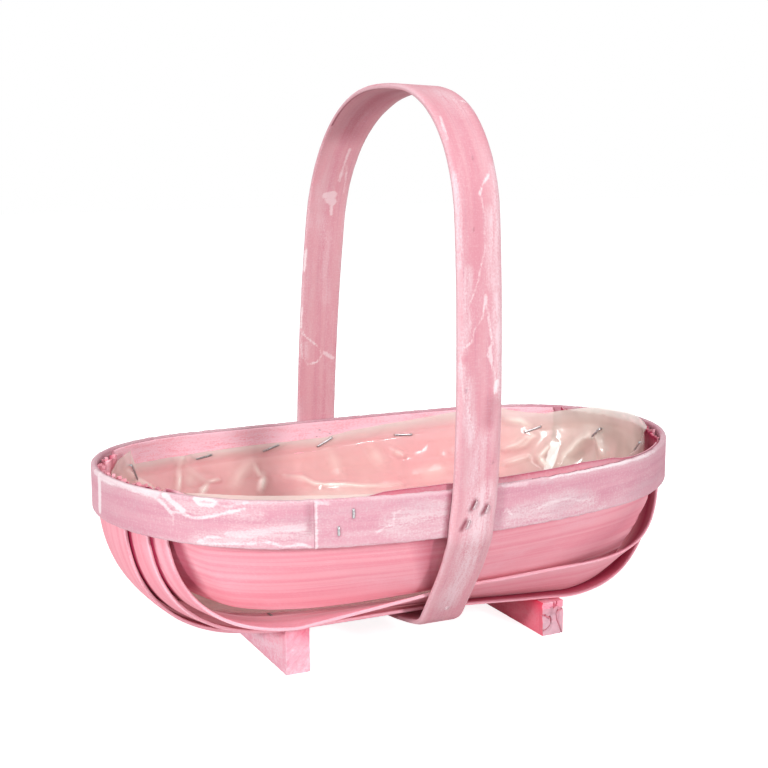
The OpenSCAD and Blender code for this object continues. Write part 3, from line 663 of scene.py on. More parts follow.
# Arch of one side: its leg and crown radii follow from the shoulder and from where the arch starts and ends
def archProfile(foot, radius):
    leg = math.radians(handle["legTurn"])
    endSlope = handle["legTurn"] + handle["shoulderTurn"]
    end = math.radians(endSlope)
    y = handleOut - radius * (math.cos(leg) - math.cos(end))
    z = handle["height"] - rimTop - radius * (math.sin(end) - math.sin(leg))
    shared = (1 - math.cos(leg)) * (1 - math.sin(end)) - math.cos(end) * math.sin(leg)
    legRadius = (y * (1 - math.sin(end)) - z * math.cos(end)) / shared
    crownRadius = (z * (1 - math.cos(leg)) - y * math.sin(leg)) / shared
    points = arc(foot, legRadius, 90, 90 + handle["legTurn"], 30)
    points += arc(points[-1], radius, 90 + handle["legTurn"], 90 + endSlope, 60)
    return points + arc(points[-1], crownRadius, 90 + endSlope, 180, 14)


lowerHalf = handleProfile()
frontHalf = np.array(lowerHalf + archProfile(lowerHalf[-1], handle["frontShoulder"]))
backHalf = np.array(lowerHalf + archProfile(lowerHalf[-1], handle["backShoulder"]))
archRise = handle["height"] - rimTop
loopY = np.concatenate([-frontHalf[:, 0], backHalf[-2::-1, 0]])
loopZ = np.concatenate([frontHalf[:, 1], backHalf[-2::-1, 1]])
loopSlope = np.concatenate([frontHalf[:, 2], 2 * math.pi - backHalf[-2::-1, 2]])
loopY = loopY - handle["lean"] * np.maximum(0, loopZ - rimTop) / archRise
loopAlong = np.concatenate([[0], np.cumsum(np.hypot(np.diff(loopY), np.diff(loopZ)))])
handleLength = loopAlong[-1]


# Distance in mm along the handle at a height in mm, which has a minus on the back leg
def legAlong(z):
    top = len(frontHalf)
    leg = slice(top) if z > 0 else slice(None, top - 1, -1)
    return np.interp(abs(z) * mm, loopZ[leg], loopAlong[leg]) / mm


def onLegs(strokes):
    placed = {}
    for kind, group in strokes.items():
        placed[kind] = [(half, cover, *((legAlong(z), a) for z, a in path)) for half, cover, *path in group]
    return placed


rollAlong = [legAlong(z) for z, _ in handle["roll"]]
rollDegrees = [degrees for _, degrees in handle["roll"]]


def handleStation(s):
    s = s % handleLength
    y, z, slope = (np.interp(s, loopAlong, values) for values in (loopY, loopZ, loopSlope))
    left = handle["left"]
    if y < 0:
        left += handle["sway"] * math.exp(-(((z - rim["low"]) / handle["swayReach"]) ** 2))
    roll = math.radians(np.interp(s / mm, rollAlong, rollDegrees))
    out, side = np.array([0, -math.sin(slope), -math.cos(slope)]), np.array([1, 0, 0])
    sink = handle["width"] / 2 * math.sin(roll)
    point = np.array([-left, y + middleY, z]) - sink * out
    return point, math.cos(roll) * out + math.sin(roll) * side, math.cos(roll) * side - math.sin(roll) * out


# Painted shade in a dark rim round each staple, where it presses into the legs
for x, share in handle["stapleSpots"]:
    z = (rim["low"] + share * rim["height"]) / mm
    stapleShade = [(2.0, 0.9, (leg * (z - 2), x - 1), (leg * (z + 2), x + 1)) for leg in (1, -1)]
    handle["strokes"]["stainAndShade"] += stapleShade
placed = dict(handle, lapAt=-handle["lap"] / 2)
for key in ("strokes", "insideStrokes"):
    placed[key] = onLegs(handle[key])
handlePiece = hoop("handleStrip", handleStation, handleLength, placed, handle["width"], handleWood)
settle(handlePiece, "handle_hoop")
print("handle made, %.0f mm round" % (handleLength / mm))


# Bottom boards: straight in the middle, bent up to the rim at both ends; the two front ones lie twisted
board = {
    "thickness": 1.8 * mm, "centreWidth": 56 * mm, "innerWidth": 34 * mm, "outerWidth": 30 * mm,
    "overlap": 7 * mm, "innerTilt": 10, "outerTilt": 24, "innerTwist": 11, "outerEase": 18, "outerStand": 5,
    "outerTwist": 20, "outerLift": 4.4 * mm, "outerSpread": 1.8, "spreadFrom": 0.2, "flat": 172 * mm,
    "bendPull": 46 * mm, "risePull": 60 * mm, "bendRoom": 0.7 * mm, "riseBulge": 6 * mm, "endDrop": 4 * mm,
    "innerEnd": 27 * mm, "outerEnd": 41 * mm, "arcPull": 0.55, "rows": 191, "lane": 1.2 * mm,
    "shadeReach": 2.4 * mm, "shadeFade": 0.9 * mm, "rounding": 0.5 * mm, "wave": 0.3 * mm, "fray": 0.2 * mm,
    "ragged": 3.8 * mm, "strokes": {},
    "insideStrokes": {
        "stainAndShade": [
            # Painted shade on the inner faces of the rising ends, and at the right ends
            (34, 0.4, (-155, -20), (-155, 20)),
            (34, 0.4, (155, -20), (155, 20)),
            (13, 1.2, (205, -20), (205, 20)),
        ],
    },
    # Painted shade on the front inner board's upper face at the right, under the outer board
    "frontInner": {"stainAndShade": [(24, 1.0, (10, 9), (165, 9))]},
    # Painted light on the front outer board's upper face at the left, and painted shade on its inner face at
    # the right end
    "frontOuter": {
        "veilAndLight": [(13, 1.3, (-115, 10), (-15, 10))],
        "stainAndShade": [(26, 1.0, (95, 9), (125, 9), (195, 6))],
    },
}
layer = board["thickness"] + clearance
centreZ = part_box("centre_bottom_board")[0][2]
basketMiddle = np.array([0, 0, 130 * mm])


def turned(way, degrees):
    c, s = math.cos(math.radians(degrees)), math.sin(math.radians(degrees))
    return np.array([way[0] * c - way[1] * s, way[0] * s + way[1] * c])


flatWay = np.array([1.0, 0.0])
innerWay, outerWay = turned(flatWay, board["innerTilt"]), turned(flatWay, board["outerTilt"])
outerStart = board["innerWidth"] - board["overlap"]
innerLow = np.array([board["centreWidth"] / 2 - board["overlap"], centreZ + layer])
outerLow = innerLow + outerStart * innerWay + layer * turned(innerWay, 90)
# A board is its lower edge, way across, width, middle along the rim and layer
boards = {
    "centre": (np.array([-board["centreWidth"] / 2, centreZ]), flatWay, board["centreWidth"], 0, 0),
    "inner": (innerLow, innerWay, board["innerWidth"], board["innerEnd"], 1),
    "outer": (outerLow, outerWay, board["outerWidth"], board["outerEnd"], 2),
}
# Lie of a board: drop of its lower edge at the right end and lift at the left, tilts added at left, middle
# and right, and the layers by which its outer edge spreads toward the rim at the right end
plainLie = {"drop": 0, "lift": 0, "tilts": (0, 0, 0), "spread": 0}
innerLie = dict(plainLie, tilts=(0, 0, -board["innerTwist"]))
innerFlat = math.radians(board["innerTilt"] - board["innerTwist"])
outerLie = {
    "drop": outerStart * (innerWay[1] - math.sin(innerFlat)), "lift": board["outerLift"],
    "tilts": (-board["outerEase"], board["outerStand"], board["outerTwist"]), "spread": board["outerSpread"],
}


def bezier(a, b, c, d, t):
    return (1 - t) ** 3 * a + 3 * (1 - t) ** 2 * t * b + 3 * (1 - t) * t * t * c + t**3 * d


def flatShare(x):
    return max(-1, min(1, 2 * x / board["flat"]))


# Point of a board's outer face: u runs from end to end, v across, both from -1 to 1
def boardPoint(shape, lie, u, v):
    low, way, width, endOffset, layers = shape
    flat = board["flat"] / 2
    bent = 2 * abs(u) - 1
    share = flatShare(2 * u * flat)
    way = turned(way, np.interp(share, (-1, 0, 1), lie["tilts"]))
    rise = lie["lift"] * max(0, -share) - lie["drop"] * max(0, share)
    y, z = low + np.array([0, rise]) + (1 + v) / 2 * width * way
    if bent <= 0:
        return np.array([2 * u * flat, y, z])
    turn = (endOffset + v * width / 2) / rim["endRadius"]
    spread = lie["spread"] * (u > 0) * max(0, v - board["spreadFrom"]) / (1 - board["spreadFrom"])
    tipX, tipY = plan(turn, rim["thickness"] + clearance + (layers - spread) * layer)
    tipZ = rimTop + sheer(tipX) - board["endDrop"]
    short = layers * layer * board["arcPull"]
    room = layers * board["bendRoom"] * 4 * bent * (1 - bent)
    bend = (flat + board["bendPull"] - short, y, z)
    knee = (tipX + board["riseBulge"], tipY, tipZ - board["risePull"] + short)
    p = bezier(*np.array([(flat, y, z), bend, knee, (tipX, tipY, tipZ)]), bent)
    return np.array([math.copysign(p[0] - room, u), p[1], p[2] + room])


def gridNormals(points, inside):
    normal = unit(np.cross(np.gradient(points, axis=0), np.gradient(points, axis=1)))
    flip = np.sign(((inside - points) * normal).sum(-1))
    return normal * flip[..., None]


def sheetBoard(name, points, across, node, seed, stainAndShade, **changes):
    inward = gridNormals(points, basketMiddle)
    middle = points[:, points.shape[1] // 2]
    along = np.concatenate([[0], np.cumsum(np.linalg.norm(np.diff(middle, axis=0), axis=1))])
    along -= along[-1] / 2
    spec = dict(board, **changes)
    piece = veneer(name, points + toMiddle, inward, along, across, spec, boardWood, seed=seed, stainAndShade=stainAndShade)
    settle(piece, node)


# Painted shade beside the edge of the board that laps over this one
def lapShade(points, cover, lie, spec):
    us = np.linspace(-1, 1, 2 * board["rows"])
    edge = np.array([boardPoint(boards[cover], lie, u, 1) for u in us])
    gaps = np.array([np.linalg.norm(edge[None] - row[:, None], axis=-1).min(1) for row in points])
    beside = np.sqrt(np.maximum(0, gaps**2 - layer**2))
    return ramp(beside, spec["shadeReach"] + spec["shadeFade"], spec["shadeReach"])


def bottomBoard(name, key, lie, side, node, seed, cover=None, coverLie=plainLie, extra=None):
    width = boards[key][2]
    across = lanes(width, board["rounding"], int(width / board["lane"]))
    us = np.linspace(-1, 1, board["rows"])
    points = np.array([[boardPoint(boards[key], lie, u, 2 * a / width) for a in across] for u in us])
    # Painted shade beside the edge of the board that laps over this one
    stainAndShade = lapShade(points, cover, coverLie, board) if cover else None
    points[..., 1] *= side
    inside = dict(board["insideStrokes"])
    for kind, group in (extra or {}).items():
        inside[kind] = inside.get(kind, []) + group
    sheetBoard(name, points, across, node, seed, stainAndShade, insideStrokes=inside)


bottomBoard("centreBoard", "centre", plainLie, 1, "centre_bottom_board", 1.0)
bottomBoard("frontInnerBoard", "inner", innerLie, -1, "front_inner_bottom_board", 2.3, "centre",
            extra=board["frontInner"])
bottomBoard("frontOuterBoard", "outer", outerLie, -1, "front_outer_bottom_board", 3.1, "inner", innerLie,
            board["frontOuter"])
bottomBoard("backInnerBoard", "inner", plainLie, 1, "back_inner_bottom_board", 4.7, "centre")
bottomBoard("backOuterBoard", "outer", plainLie, 1, "back_outer_bottom_board", 5.9, "inner")

# Side boards: from the rim's inner face down to the lower edge, bowed outward between
sideBoard = {
    "lowY": 67 * mm, "lowZ": 40.5 * mm, "lowRise": 13 * mm, "lowLength": 262 * mm, "lowRun": 13 * mm,
    "endTurn": 38, "bow": 3 * mm, "drop": 1 * mm, "tuck": 2 * mm, "width": 68 * mm, "rows": 171, "lanes": 42,
    "ragged": 0.8 * mm, "shadeReach": 5 * mm, "shadeFade": 4 * mm, "topLane": 1 / 7,
    "crest": [(-0.15, 0), (-0.12, 0.55), (-0.05, 0.78), (0.04, 0.8), (0.17, 0.9), (0.3, 0.4), (0.45, 0.1),
              (0.82, 0)],
    "front": {"left": 1.1, "right": 0.9, "droop": 5 * mm, "sink": 6 * mm, "rise": 4.5 * mm, "slip": 6.4 * mm,
              "slipFrom": 0.84, "lie": outerLie, "stainAndShade": [(-0.5, 0.75), (-0.3, 0), (0.45, 0), (0.85, 0.6)]},
    "back": {"left": 1, "right": 1, "droop": 0, "sink": 0, "rise": 0, "slip": 0, "slipFrom": 1,
             "lie": plainLie, "stainAndShade": [(0, 0.3)]},
    "strokes": {
        "veilAndLight": [
            (4, 0.8, (-20, 30), (110, 30)),
        ],
        "stainAndShade": [
            # Painted shade along the top edge, where the board stands above the rim
            (1.3, 0.8, (-60, 34), (150, 34)),
            # Painted shadow of the handle on the board, beside its left edge
            (12, 0.55, (-12, -32), (-9, 26)),
            # Painted shade toward the right end
            (28, 0.25, (122, -34), (138, 10)),
        ],
    },
    "insideStrokes": {
        "veilAndLight": [
            (16, 1.5, (-150, 28), (150, 28)),
            (5, 0.8, (-150, 33), (150, 33)),
        ],
    },
}


def sidePoint(u, v, cut):
    endTurn = math.radians(sideBoard["endTurn"])
    x, y = plan(math.pi / 2 - u * (math.pi / 2 - endTurn), rim["thickness"] + clearance)
    top = np.array([x, y, rimTop + sheer(x) - sideBoard["drop"]])
    knee = rim["low"] + sheer(x)
    lowZ = sideBoard["lowZ"] + sideBoard["lowRise"] * u**4
    lowZ -= cut["droop"] * max(0, -u) + cut["sink"] * max(0, u) ** 2
    low = np.array([u * sideBoard["lowLength"] / 2, sideBoard["lowY"] - sideBoard["lowRun"] * u * u, lowZ])
    bow = np.array([0, sideBoard["bow"], 0]) + (np.array([x, y, knee]) + low) / 2
    lift = cut["rise"] * np.interp(u, *zip(*sideBoard["crest"])) * max(0, 1 - v / sideBoard["topLane"])
    return bezier(top, np.array([x, y, knee - sideBoard["tuck"]]), bow, low, v) + np.array([0, 0, lift])


# The front one slips behind the outermost bottom board at its left end
def makeSide(name, key, side, node, seed):
    cut, width = sideBoard[key], sideBoard["width"]
    across = lanes(width, board["rounding"], sideBoard["lanes"])
    us = np.linspace(-cut["left"], cut["right"], sideBoard["rows"])
    points = np.array([[sidePoint(u, 0.5 - a / width, cut) for a in across] for u in us])
    slip = ramp(-us, cut["slipFrom"], 1.001 * cut["left"])
    slip = cut["slip"] * slip**2 * (3 - 2 * slip)
    # Painted shadow of the outermost bottom board on the side board, weighted along its length
    stainAndShade = lapShade(points, "outer", cut["lie"], sideBoard) * np.interp(us, *zip(*cut["stainAndShade"]))[:, None]
    points = points + slip[:, None, None] * gridNormals(points, basketMiddle)
    points[..., 1] *= side
    changes = {key: sideBoard[key] for key in ("ragged", "strokes", "insideStrokes")}
    sheetBoard(name, points, across, node, seed, stainAndShade, **changes)


makeSide("frontSideBoard", "front", -1, "front_side_board", 7.2)
makeSide("backSideBoard", "back", 1, "back_side_board", 8.6)
print("boards made")


# Feet: sawn blocks whose tops follow the boards that rest on them
foot = {
    "cuts": 39, "saw": 0.25 * mm, "sawGrain": (2.2 * mm, 12 * mm, 12 * mm), "grit": 3 * mm,
    "rounding": 0.35 * mm, "worn": 0.12, "chip": 2.2 * mm, "chipSize": (6 * mm, 8 * mm), "crack": 1.3 * mm,
    "crackGrain": (5 * mm, 9 * mm), "crackWidth": 0.07, "crackShade": 0.35, "patch": (6 * mm, 5 * mm),
    "face": 0.99, "skin": 0.9, "greyWash": 0.6, "greyCoat": 0.8,
    # Painted shade on the front and side faces of each foot; the right foot's side lies in the basket's shade
    "left": {"chipped": False, "paintedShade": (0.0, 0.0), "seed": 11.0},
    "right": {"chipped": True, "paintedShade": (0.0, 0.66), "seed": 12.5},
}


def footTop(x, y):
    if abs(y) < board["centreWidth"] / 2:
        return centreZ - clearance
    tilt = board["innerTilt"] - (board["innerTwist"] * max(0, flatShare(x)) if y < 0 else 0)
    edge = innerLow[1] + (abs(y) - innerLow[0]) * math.tan(math.radians(tilt)) - clearance
    return max(edge, centreZ - clearance)


def makeFoot(name, node, spec):
    chipped, seed = spec["chipped"], spec["seed"]
    low, high = corners(node)
    bm = bmesh.new()
    bmesh.ops.create_cube(bm, size=2)
    bmesh.ops.subdivide_edges(bm, edges=bm.edges, cuts=foot["cuts"], use_grid_fill=True)
    points, wear, veilAndLight, stainAndShade, grey = [], [], [], [], []
    for vertex in bm.verts:
        sx, sy, sz = vertex.co
        onSide, front = abs(sx) > foot["face"], sy < -foot["skin"]
        x = low.x + (sx + 1) / 2 * (high.x - low.x)
        y = low.y + (sy + 1) / 2 * (high.y - low.y)
        share = (sz + 1) / 2
        z = share * footTop(high.x, y - middleY)
        edges = sorted((1 - abs(sx), (1 - abs(sy)) * 4, 1 - abs(sz)))
        corner = max(0, 1 - edges[1] / foot["worn"])
        crackX, crackZ = foot["crackGrain"]
        crack = chipped and sy < -foot["face"]
        crack = crack and abs(ripple(x / crackX, z / crackZ, seed + 8)) < foot["crackWidth"]
        sawY, sawZ, sawX = foot["sawGrain"]
        saw = ripple(y / sawY, z / sawZ, x / sawX + seed) * foot["saw"] * onSide
        x += math.copysign(1, sx) * saw - math.copysign(foot["rounding"], sx) * corner
        if abs(sy) > foot["face"]:
            y += ripple(x / foot["grit"], z / foot["grit"], seed) * foot["saw"] * 2
            if chipped and sy < 0:
                cell = noise.cell(Vector((x / foot["chipSize"][0], z / foot["chipSize"][1], seed)))
                y += foot["chip"] * max(0, cell) * max(0, 1 - abs(share - 0.55) * 2.2) + foot["crack"] * crack
        patch = 0.5 + ripple(x / foot["patch"][0], z / foot["patch"][1], seed + 4)
        saturated = 0.5 * max(0, share - 0.55) * (0.7 + patch)
        points.append((x, y, z))
        wear.append(corner)
        veilAndLight.append(max(0, 1.3 - share * 2.2) * patch if front else 1.1 - abs(share - 0.45) * 2)
        # The cracks and the shaded side face get painted shade; the tops get deeper colour
        stainAndShade.append(foot["crackShade"] if crack else spec["paintedShade"][onSide] + saturated)
        grey.append(chipped and front and share < 0.8)
    index = {vertex: i for i, vertex in enumerate(bm.verts)}
    faces = [[index[v] for v in face.verts] for face in bm.faces]
    bm.free()
    x, y, z = np.array(points).T
    fields = {
        "grain": np.stack([(x + z) * 0.7 + seed, (z - x) * 0.7, y], -1),
        "washAndHighlight": np.where(grey, foot["greyWash"], bare), "coat": np.where(grey, foot["greyCoat"], 0.0),
        "wear": wear, "veilAndLight": veilAndLight, "stainAndShade": stainAndShade,
    }
    settle(meshPiece(name, points, faces, footWood, fields), node)


makeFoot("leftFootBlock", "left_foot", foot["left"])
makeFoot("rightFootBlock", "right_foot", foot["right"])
print("feet made")


# Liner: a film sheet laid in the boards, creased, with an uneven upper edge
liner = {
    "flat": (0.40, 0.28), "area": 0.085, "drop": 6 * mm, "stand": 4 * mm, "shape": 2.15, "floorRings": 10,
    "lowRings": 22, "highRings": 68, "highFrom": 0.66, "fineTurns": (8, 178), "fineStep": 0.5, "step": 1.6,
    # Rise of the upper edge in mm at turns in degrees, from a level upward
    "edge": [
        (0, 9), (10, 9.5), (16, 8), (24, 6), (32, 3), (38, 3.5), (43, 5), (47, 7.5), (52, 6), (60, 5),
        (72, 1.5), (84, -1.5), (90, -4.5), (124, -4.5), (138, -4), (146, -3), (148, 5.5), (152, 4.5),
        (157, 3), (163, 0), (180, 0), (200, 2.5), (215, 4.5), (238, 5.5), (252, 5.5), (262, 4.5), (270, 2),
        (276, -1), (300, 0), (318, 2), (337, 7), (350, 8),
    ],
    "edgeFrom": 0.8, "hem": (0.95, 0.99),
    # Crumples all over, as size, seed and share, held flat by the staples
    "crumple": 1.2 * mm, "crumples": [(30 * mm, 0, 0.8), (12 * mm, 9, 0.3)],
    "held": 0.7, "heldAt": 0.95, "heldReach": 0.05,
    # The upper edge leans out over the board ends at the right
    "lean": 4.6 * mm, "leanHeight": 4 * mm, "leanFrom": (110 * mm, 140 * mm),
    # The front left is pulled inward and up
    "pulled": 8 * mm, "raised": 3 * mm, "pullFront": (-30 * mm, -45 * mm), "pullRight": (0, -40 * mm),
    "pullLeft": (-140 * mm, -110 * mm), "pullDepth": 20 * mm, "pullWall": (-40 * mm, -60 * mm),
    # Bunched film at the ends and on the floor, each from start to stop with its share; its greyer cream at
    # the right end is partly painted shade
    "bunchedEnds": [(95 * mm, 140 * mm, 0.9), (-118 * mm, -150 * mm, 0.8)],
    "bunchedFloor": (50 * mm, 40 * mm, 0.8),
    # Creases with painted highlights: push inward and its reach, half width of the painted bright line, half
    # width and light of its painted glow, in mm, then places as turn in degrees and level
    "creases": [
        (2, 6, 1.3, 3, 1.0, (127, 0.96), (129, 0.87), (130.5, 0.82)),
        (2, 6, 0.4, 3, 0.5, (127, 0.96), (122, 0.86), (120, 0.84)),
        (1.5, 4, 0.9, 3, 0.9, (120, 0.842), (121, 0.83), (124, 0.79)),
        (2, 3, 0.8, 2, 0.7, (121, 0.845), (117, 0.845)),
        (0, 1, 0.25, 5, 0.4, (127, 0.915), (121, 0.852)),
        (0, 1, -1, 8, 0.45, (124.5, 0.9), (126, 0.84)),
        (1.5, 7, -1, 5, 0.4, (107, 0.90), (111, 0.85), (114, 0.80)),
        (1.5, 5, 0.4, 2.6, 0.8, (107, 0.90), (106, 0.84), (105, 0.825)),
        (1.5, 4, 0.6, 3.4, 1.0, (105, 0.84), (105.5, 0.81), (107, 0.77)),
        (1.2, 5, 0.6, 2.6, 0.8, (100, 0.82), (96, 0.80), (94, 0.77), (91, 0.75), (89, 0.75), (84, 0.73),
         (75, 0.72)),
        # Painted light across the lower back wall, where the front rim shades it
        (0, 1, -1, 10, 0.5, (78, 0.70), (100, 0.70)),
        (2, 4, 0.8, 3, 0.6, (93, 0.76), (88, 0.75)),
        (1, 5, -1, 5, 0.35, (89, 0.9), (88, 0.8)),
        (1, 5, -1, 7, 0.35, (80, 0.9), (78, 0.82)),
        (2, 4, 0.2, 3, 0.6, (75, 0.88), (73, 0.86)),
        (1, 5, -1, 8, 0.4, (70, 0.76), (62, 0.78)),
        (4, 6, 0.5, 2.6, 0.9, (30, 0.88), (32, 0.85), (34, 0.82)),
        (3, 4, 0.9, 3.4, 1.0, (34, 0.83), (33, 0.80), (31, 0.77)),
        (5, 8, 0.4, 5, 0.75, (26, 0.77), (24, 0.83), (19, 0.90), (15, 0.935)),
        (2, 8, -1, 9, 0.6, (25, 0.77), (22, 0.84)),
        (3, 4, 0.3, 2.4, 0.6, (45, 0.86), (41, 0.88), (38, 0.91)),
        (2, 4, 0.2, 2, 0.6, (38, 0.95), (36, 0.92), (39, 0.88), (43, 0.86)),
        (2, 4, 0.6, 3, 0.9, (44, 0.99), (40, 0.985), (37, 0.965)),
        (2, 3, 0.2, 4, 0.4, (45, 0.79), (38, 0.82)),
        (2, 5, -1, 4, 0.4, (12, 0.95), (8, 0.86)),
        (3, 6, 0.2, 3, 0.5, (150, 0.96), (142, 0.89), (138, 0.84)),
        (3, 6, 0.4, 3, 0.5, (170, 0.9), (166, 0.84)),
        (3, 7, 0.4, 4, 0.5, (215, 0.86), (222, 0.8)),
        (3, 6, 0.4, 3, 0.5, (250, 0.88), (262, 0.84), (270, 0.86)),
        (4, 7, 0.5, 4, 0.6, (300, 0.9), (308, 0.82), (322, 0.8)),
        (4, 7, 0.5, 4, 0.6, (345, 0.88), (336, 0.8)),
    ],
}
filmFloor = centreZ + 2 * layer + clearance
filmLine = (np.array([0, filmFloor]), flatWay, 0, 0, 3)
filmWall = rim["halfWidth"] - rim["thickness"] - 2 * layer - clearance
outerTop = outerLow + board["outerWidth"] * outerWay
filmHeights = [filmFloor, outerLow[1] + 2 * layer, outerTop[1] + 2 * layer, rim["low"],
               rimTop - liner["drop"] - liner["stand"]]
filmWidths = [innerLow[0], outerLow[0] - layer, sideBoard["lowY"] - 2 * layer, filmWall - 3 * layer, filmWall]


def signedPower(value, power):
    return math.copysign(abs(value) ** power, value)


def filmPoint(level, turn):
    p = boardPoint(filmLine, plainLie, 0.5 + min(level, 1) / 2, 0)
    power = 2 / liner["shape"]
    x = p[0] * signedPower(math.cos(turn), power)
    y = np.interp(p[2], filmHeights, filmWidths) * signedPower(math.sin(turn), power)
    z = p[2] + min(level, 1) * (sheer(x) - sheer(p[0]) + board["endDrop"] - liner["drop"])
    return np.array([x, y, z])


# Distance to a path, and the share of its length at the nearest place
def pathGap(points, path):
    lengths = [np.linalg.norm(b - a) for a, b in zip(path[:-1], path[1:])]
    gap, share, done = np.full(points.shape[:-1], 1.0), np.zeros(points.shape[:-1]), 0
    for a, b, length in zip(path[:-1], path[1:], lengths):
        t = np.clip(((points - a) @ (b - a)) / length**2, 0, 1)
        away = np.linalg.norm(points - a - t[..., None] * (b - a), axis=-1)
        share = np.where(away < gap, (done + t * length) / sum(lengths), share)
        gap = np.minimum(gap, away)
        done += length
    return gap, share


# Rings of the film before it is creased, and their levels
def filmRings():
    low, high = liner["fineTurns"]
    fine, coarse = np.arange(low, high, liner["fineStep"]), np.arange(high, 360 + low, liner["step"])
    turns = np.radians(np.concatenate([fine, coarse]))
    edgeTurns, edgeRises = np.array(liner["edge"]).T
    rises = np.interp(turns, np.radians(edgeTurns), edgeRises * mm, period=2 * math.pi)
    shares = (np.arange(liner["floorRings"]) + 0.2) / liner["floorRings"]
    floor = np.array([filmPoint(0, t) for t in turns])
    rings = [floor * np.array([share, share, 1]) for share in shares]
    split = liner["highFrom"]
    lowLevels = np.linspace(0, split, liner["lowRings"])[:-1]
    levels = np.concatenate([lowLevels, np.linspace(split, 1, liner["highRings"])])
    for level in levels:
        lift = ramp(level, liner["edgeFrom"], 1)
        rings.append([filmPoint(level, t) + np.array([0, 0, rise * lift]) for t, rise in zip(turns, rises)])
    return np.array(rings), np.concatenate([np.zeros(len(shares)), levels])


# Push inward of creases and crumples, with the painted light along the creases
def creaseFilm(points, level):
    push, paneLight = np.zeros(points.shape[:2]), np.zeros(points.shape[:2])
    foldHighlight = np.full(points.shape[:2], bare)
    for depth, reach, line, half, light, *places in liner["creases"]:
        path = [filmPoint(place, math.radians(turn)) for turn, place in places]
        gap, share = pathGap(points, path)
        gap, taper = gap / mm, np.sqrt(np.sin(np.pi * np.clip(share, 0.04, 0.96)))
        push = np.maximum(push, depth * mm * np.clip(1 - gap / reach, 0, 1) ** 1.3)
        foldHighlight = np.maximum(foldHighlight, line * taper - 0.5 * (1 - taper) - gap)
        paneLight = np.maximum(paneLight, light * taper * np.clip(1 - gap / half, 0, 1))
    for i, row in enumerate(points):
        for j, p in enumerate(row):
            rough = sum(share * max(0, 1 - abs(ripple(*(p / size + seed))) * 2)
                        for size, seed, share in liner["crumples"])
            push[i, j] += liner["crumple"] * rough * min(1, level[i] * 2)
    held = np.clip(1 - abs(level - liner["heldAt"]) / liner["heldReach"], 0, 1)[:, None]
    return push * (1 - liner["held"] * held), foldHighlight, paneLight


def makeLiner():
    points, level = filmRings()
    up = unit(np.gradient(points, axis=0) + 1e-9)
    around = unit(np.roll(points, -1, 1) - np.roll(points, 1, 1))
    inward = np.cross(up, around)
    inward *= np.sign(((basketMiddle - points) * inward).sum(-1))[..., None]
    push, foldHighlight, paneLight = creaseFilm(points, level)
    top = points[..., 2].max()
    over = ramp(points[..., 2], top - liner["leanHeight"], top)
    push -= liner["lean"] * over * ramp(points[..., 0], *liner["leanFrom"])
    bunchedAndShaded = np.zeros(push.shape)
    for start, stop, share in liner["bunchedEnds"]:
        bunchedAndShaded = np.maximum(bunchedAndShaded, share * ramp(points[..., 0], start, stop))
    points = points + push[..., None] * inward
    x, y, z = (points[..., k].copy() for k in range(3))
    fore = ramp(y, *liner["pullFront"]) * ramp(x, *liner["pullRight"]) * ramp(x, *liner["pullLeft"])
    fore *= ramp(z, rim["low"], rim["low"] - liner["pullDepth"])
    points[..., 1] += liner["pulled"] * fore * ramp(y, *liner["pullWall"])
    points[..., 2] += liner["raised"] * fore
    start, stop, share = liner["bunchedFloor"]
    bunchedAndShaded = np.maximum(bunchedAndShaded, share * ramp(z, start, stop))
    points = points + toMiddle
    rows, count = push.shape
    faces = ringQuads(rows, count) + [list(range(count))]
    hem = np.repeat(ramp(level, *liner["hem"])[:, None], count, 1)
    fields = {"grain": points, "wear": hem, "washAndHighlight": foldHighlight, "veilAndLight": paneLight, "coat": bunchedAndShaded}
    piece = meshPiece("linerFilmSheet", points.reshape(-1, 3), faces, film, fields)
    piece.data.shade_smooth()  # film has no sharp edges
    settle(piece, "liner")


makeLiner()
print("liner made")


# Staples: flat wire bent to a crown and two legs that go into the wood
wire = {
    "width": 1.2 * mm, "thickness": 0.6 * mm, "bend": 0.7 * mm, "bendSteps": 5, "sides": 8, "roundness": 0.5,
}


def staplePath(crown, leg):
    half, bend = crown / 2, wire["bend"]
    path = [(-half, -leg)]
    for t in np.linspace(0, math.pi / 2, wire["bendSteps"]):
        path.append((-half + bend * (1 - math.cos(t)), -bend * (1 - math.sin(t))))
    return np.array(path + [(-x, z) for x, z in reversed(path)])


# A spot is a place, the way its face looks, the way of the crown, and the lengths of crown and legs
def stapleGroup(name, node, spots, finish=steel):
    points, faces = [], []
    sides = wire["sides"]
    for at, face, way, crown, leg in spots:
        face, way = unit(np.array(face, float)), np.array(way, float)
        way = unit(way - (way @ face) * face)
        side = np.cross(face, way)
        path = staplePath(crown, leg)
        faces += rodFaces(len(path), sides, len(points))
        for (x, z), (tx, tz) in zip(path, unit(np.gradient(path, axis=0))):
            centre = np.array(at) + x * way + z * face
            normal = -tz * way + tx * face
            for t in 2 * math.pi * (np.arange(sides) + 0.5) / sides:
                a = signedPower(math.cos(t), wire["roundness"]) * wire["width"] / 2
                b = signedPower(math.sin(t), wire["roundness"]) * wire["thickness"] / 2
                points.append(centre + a * side + b * normal)
    settle(meshPiece(name, points, faces, finish, {}), node)


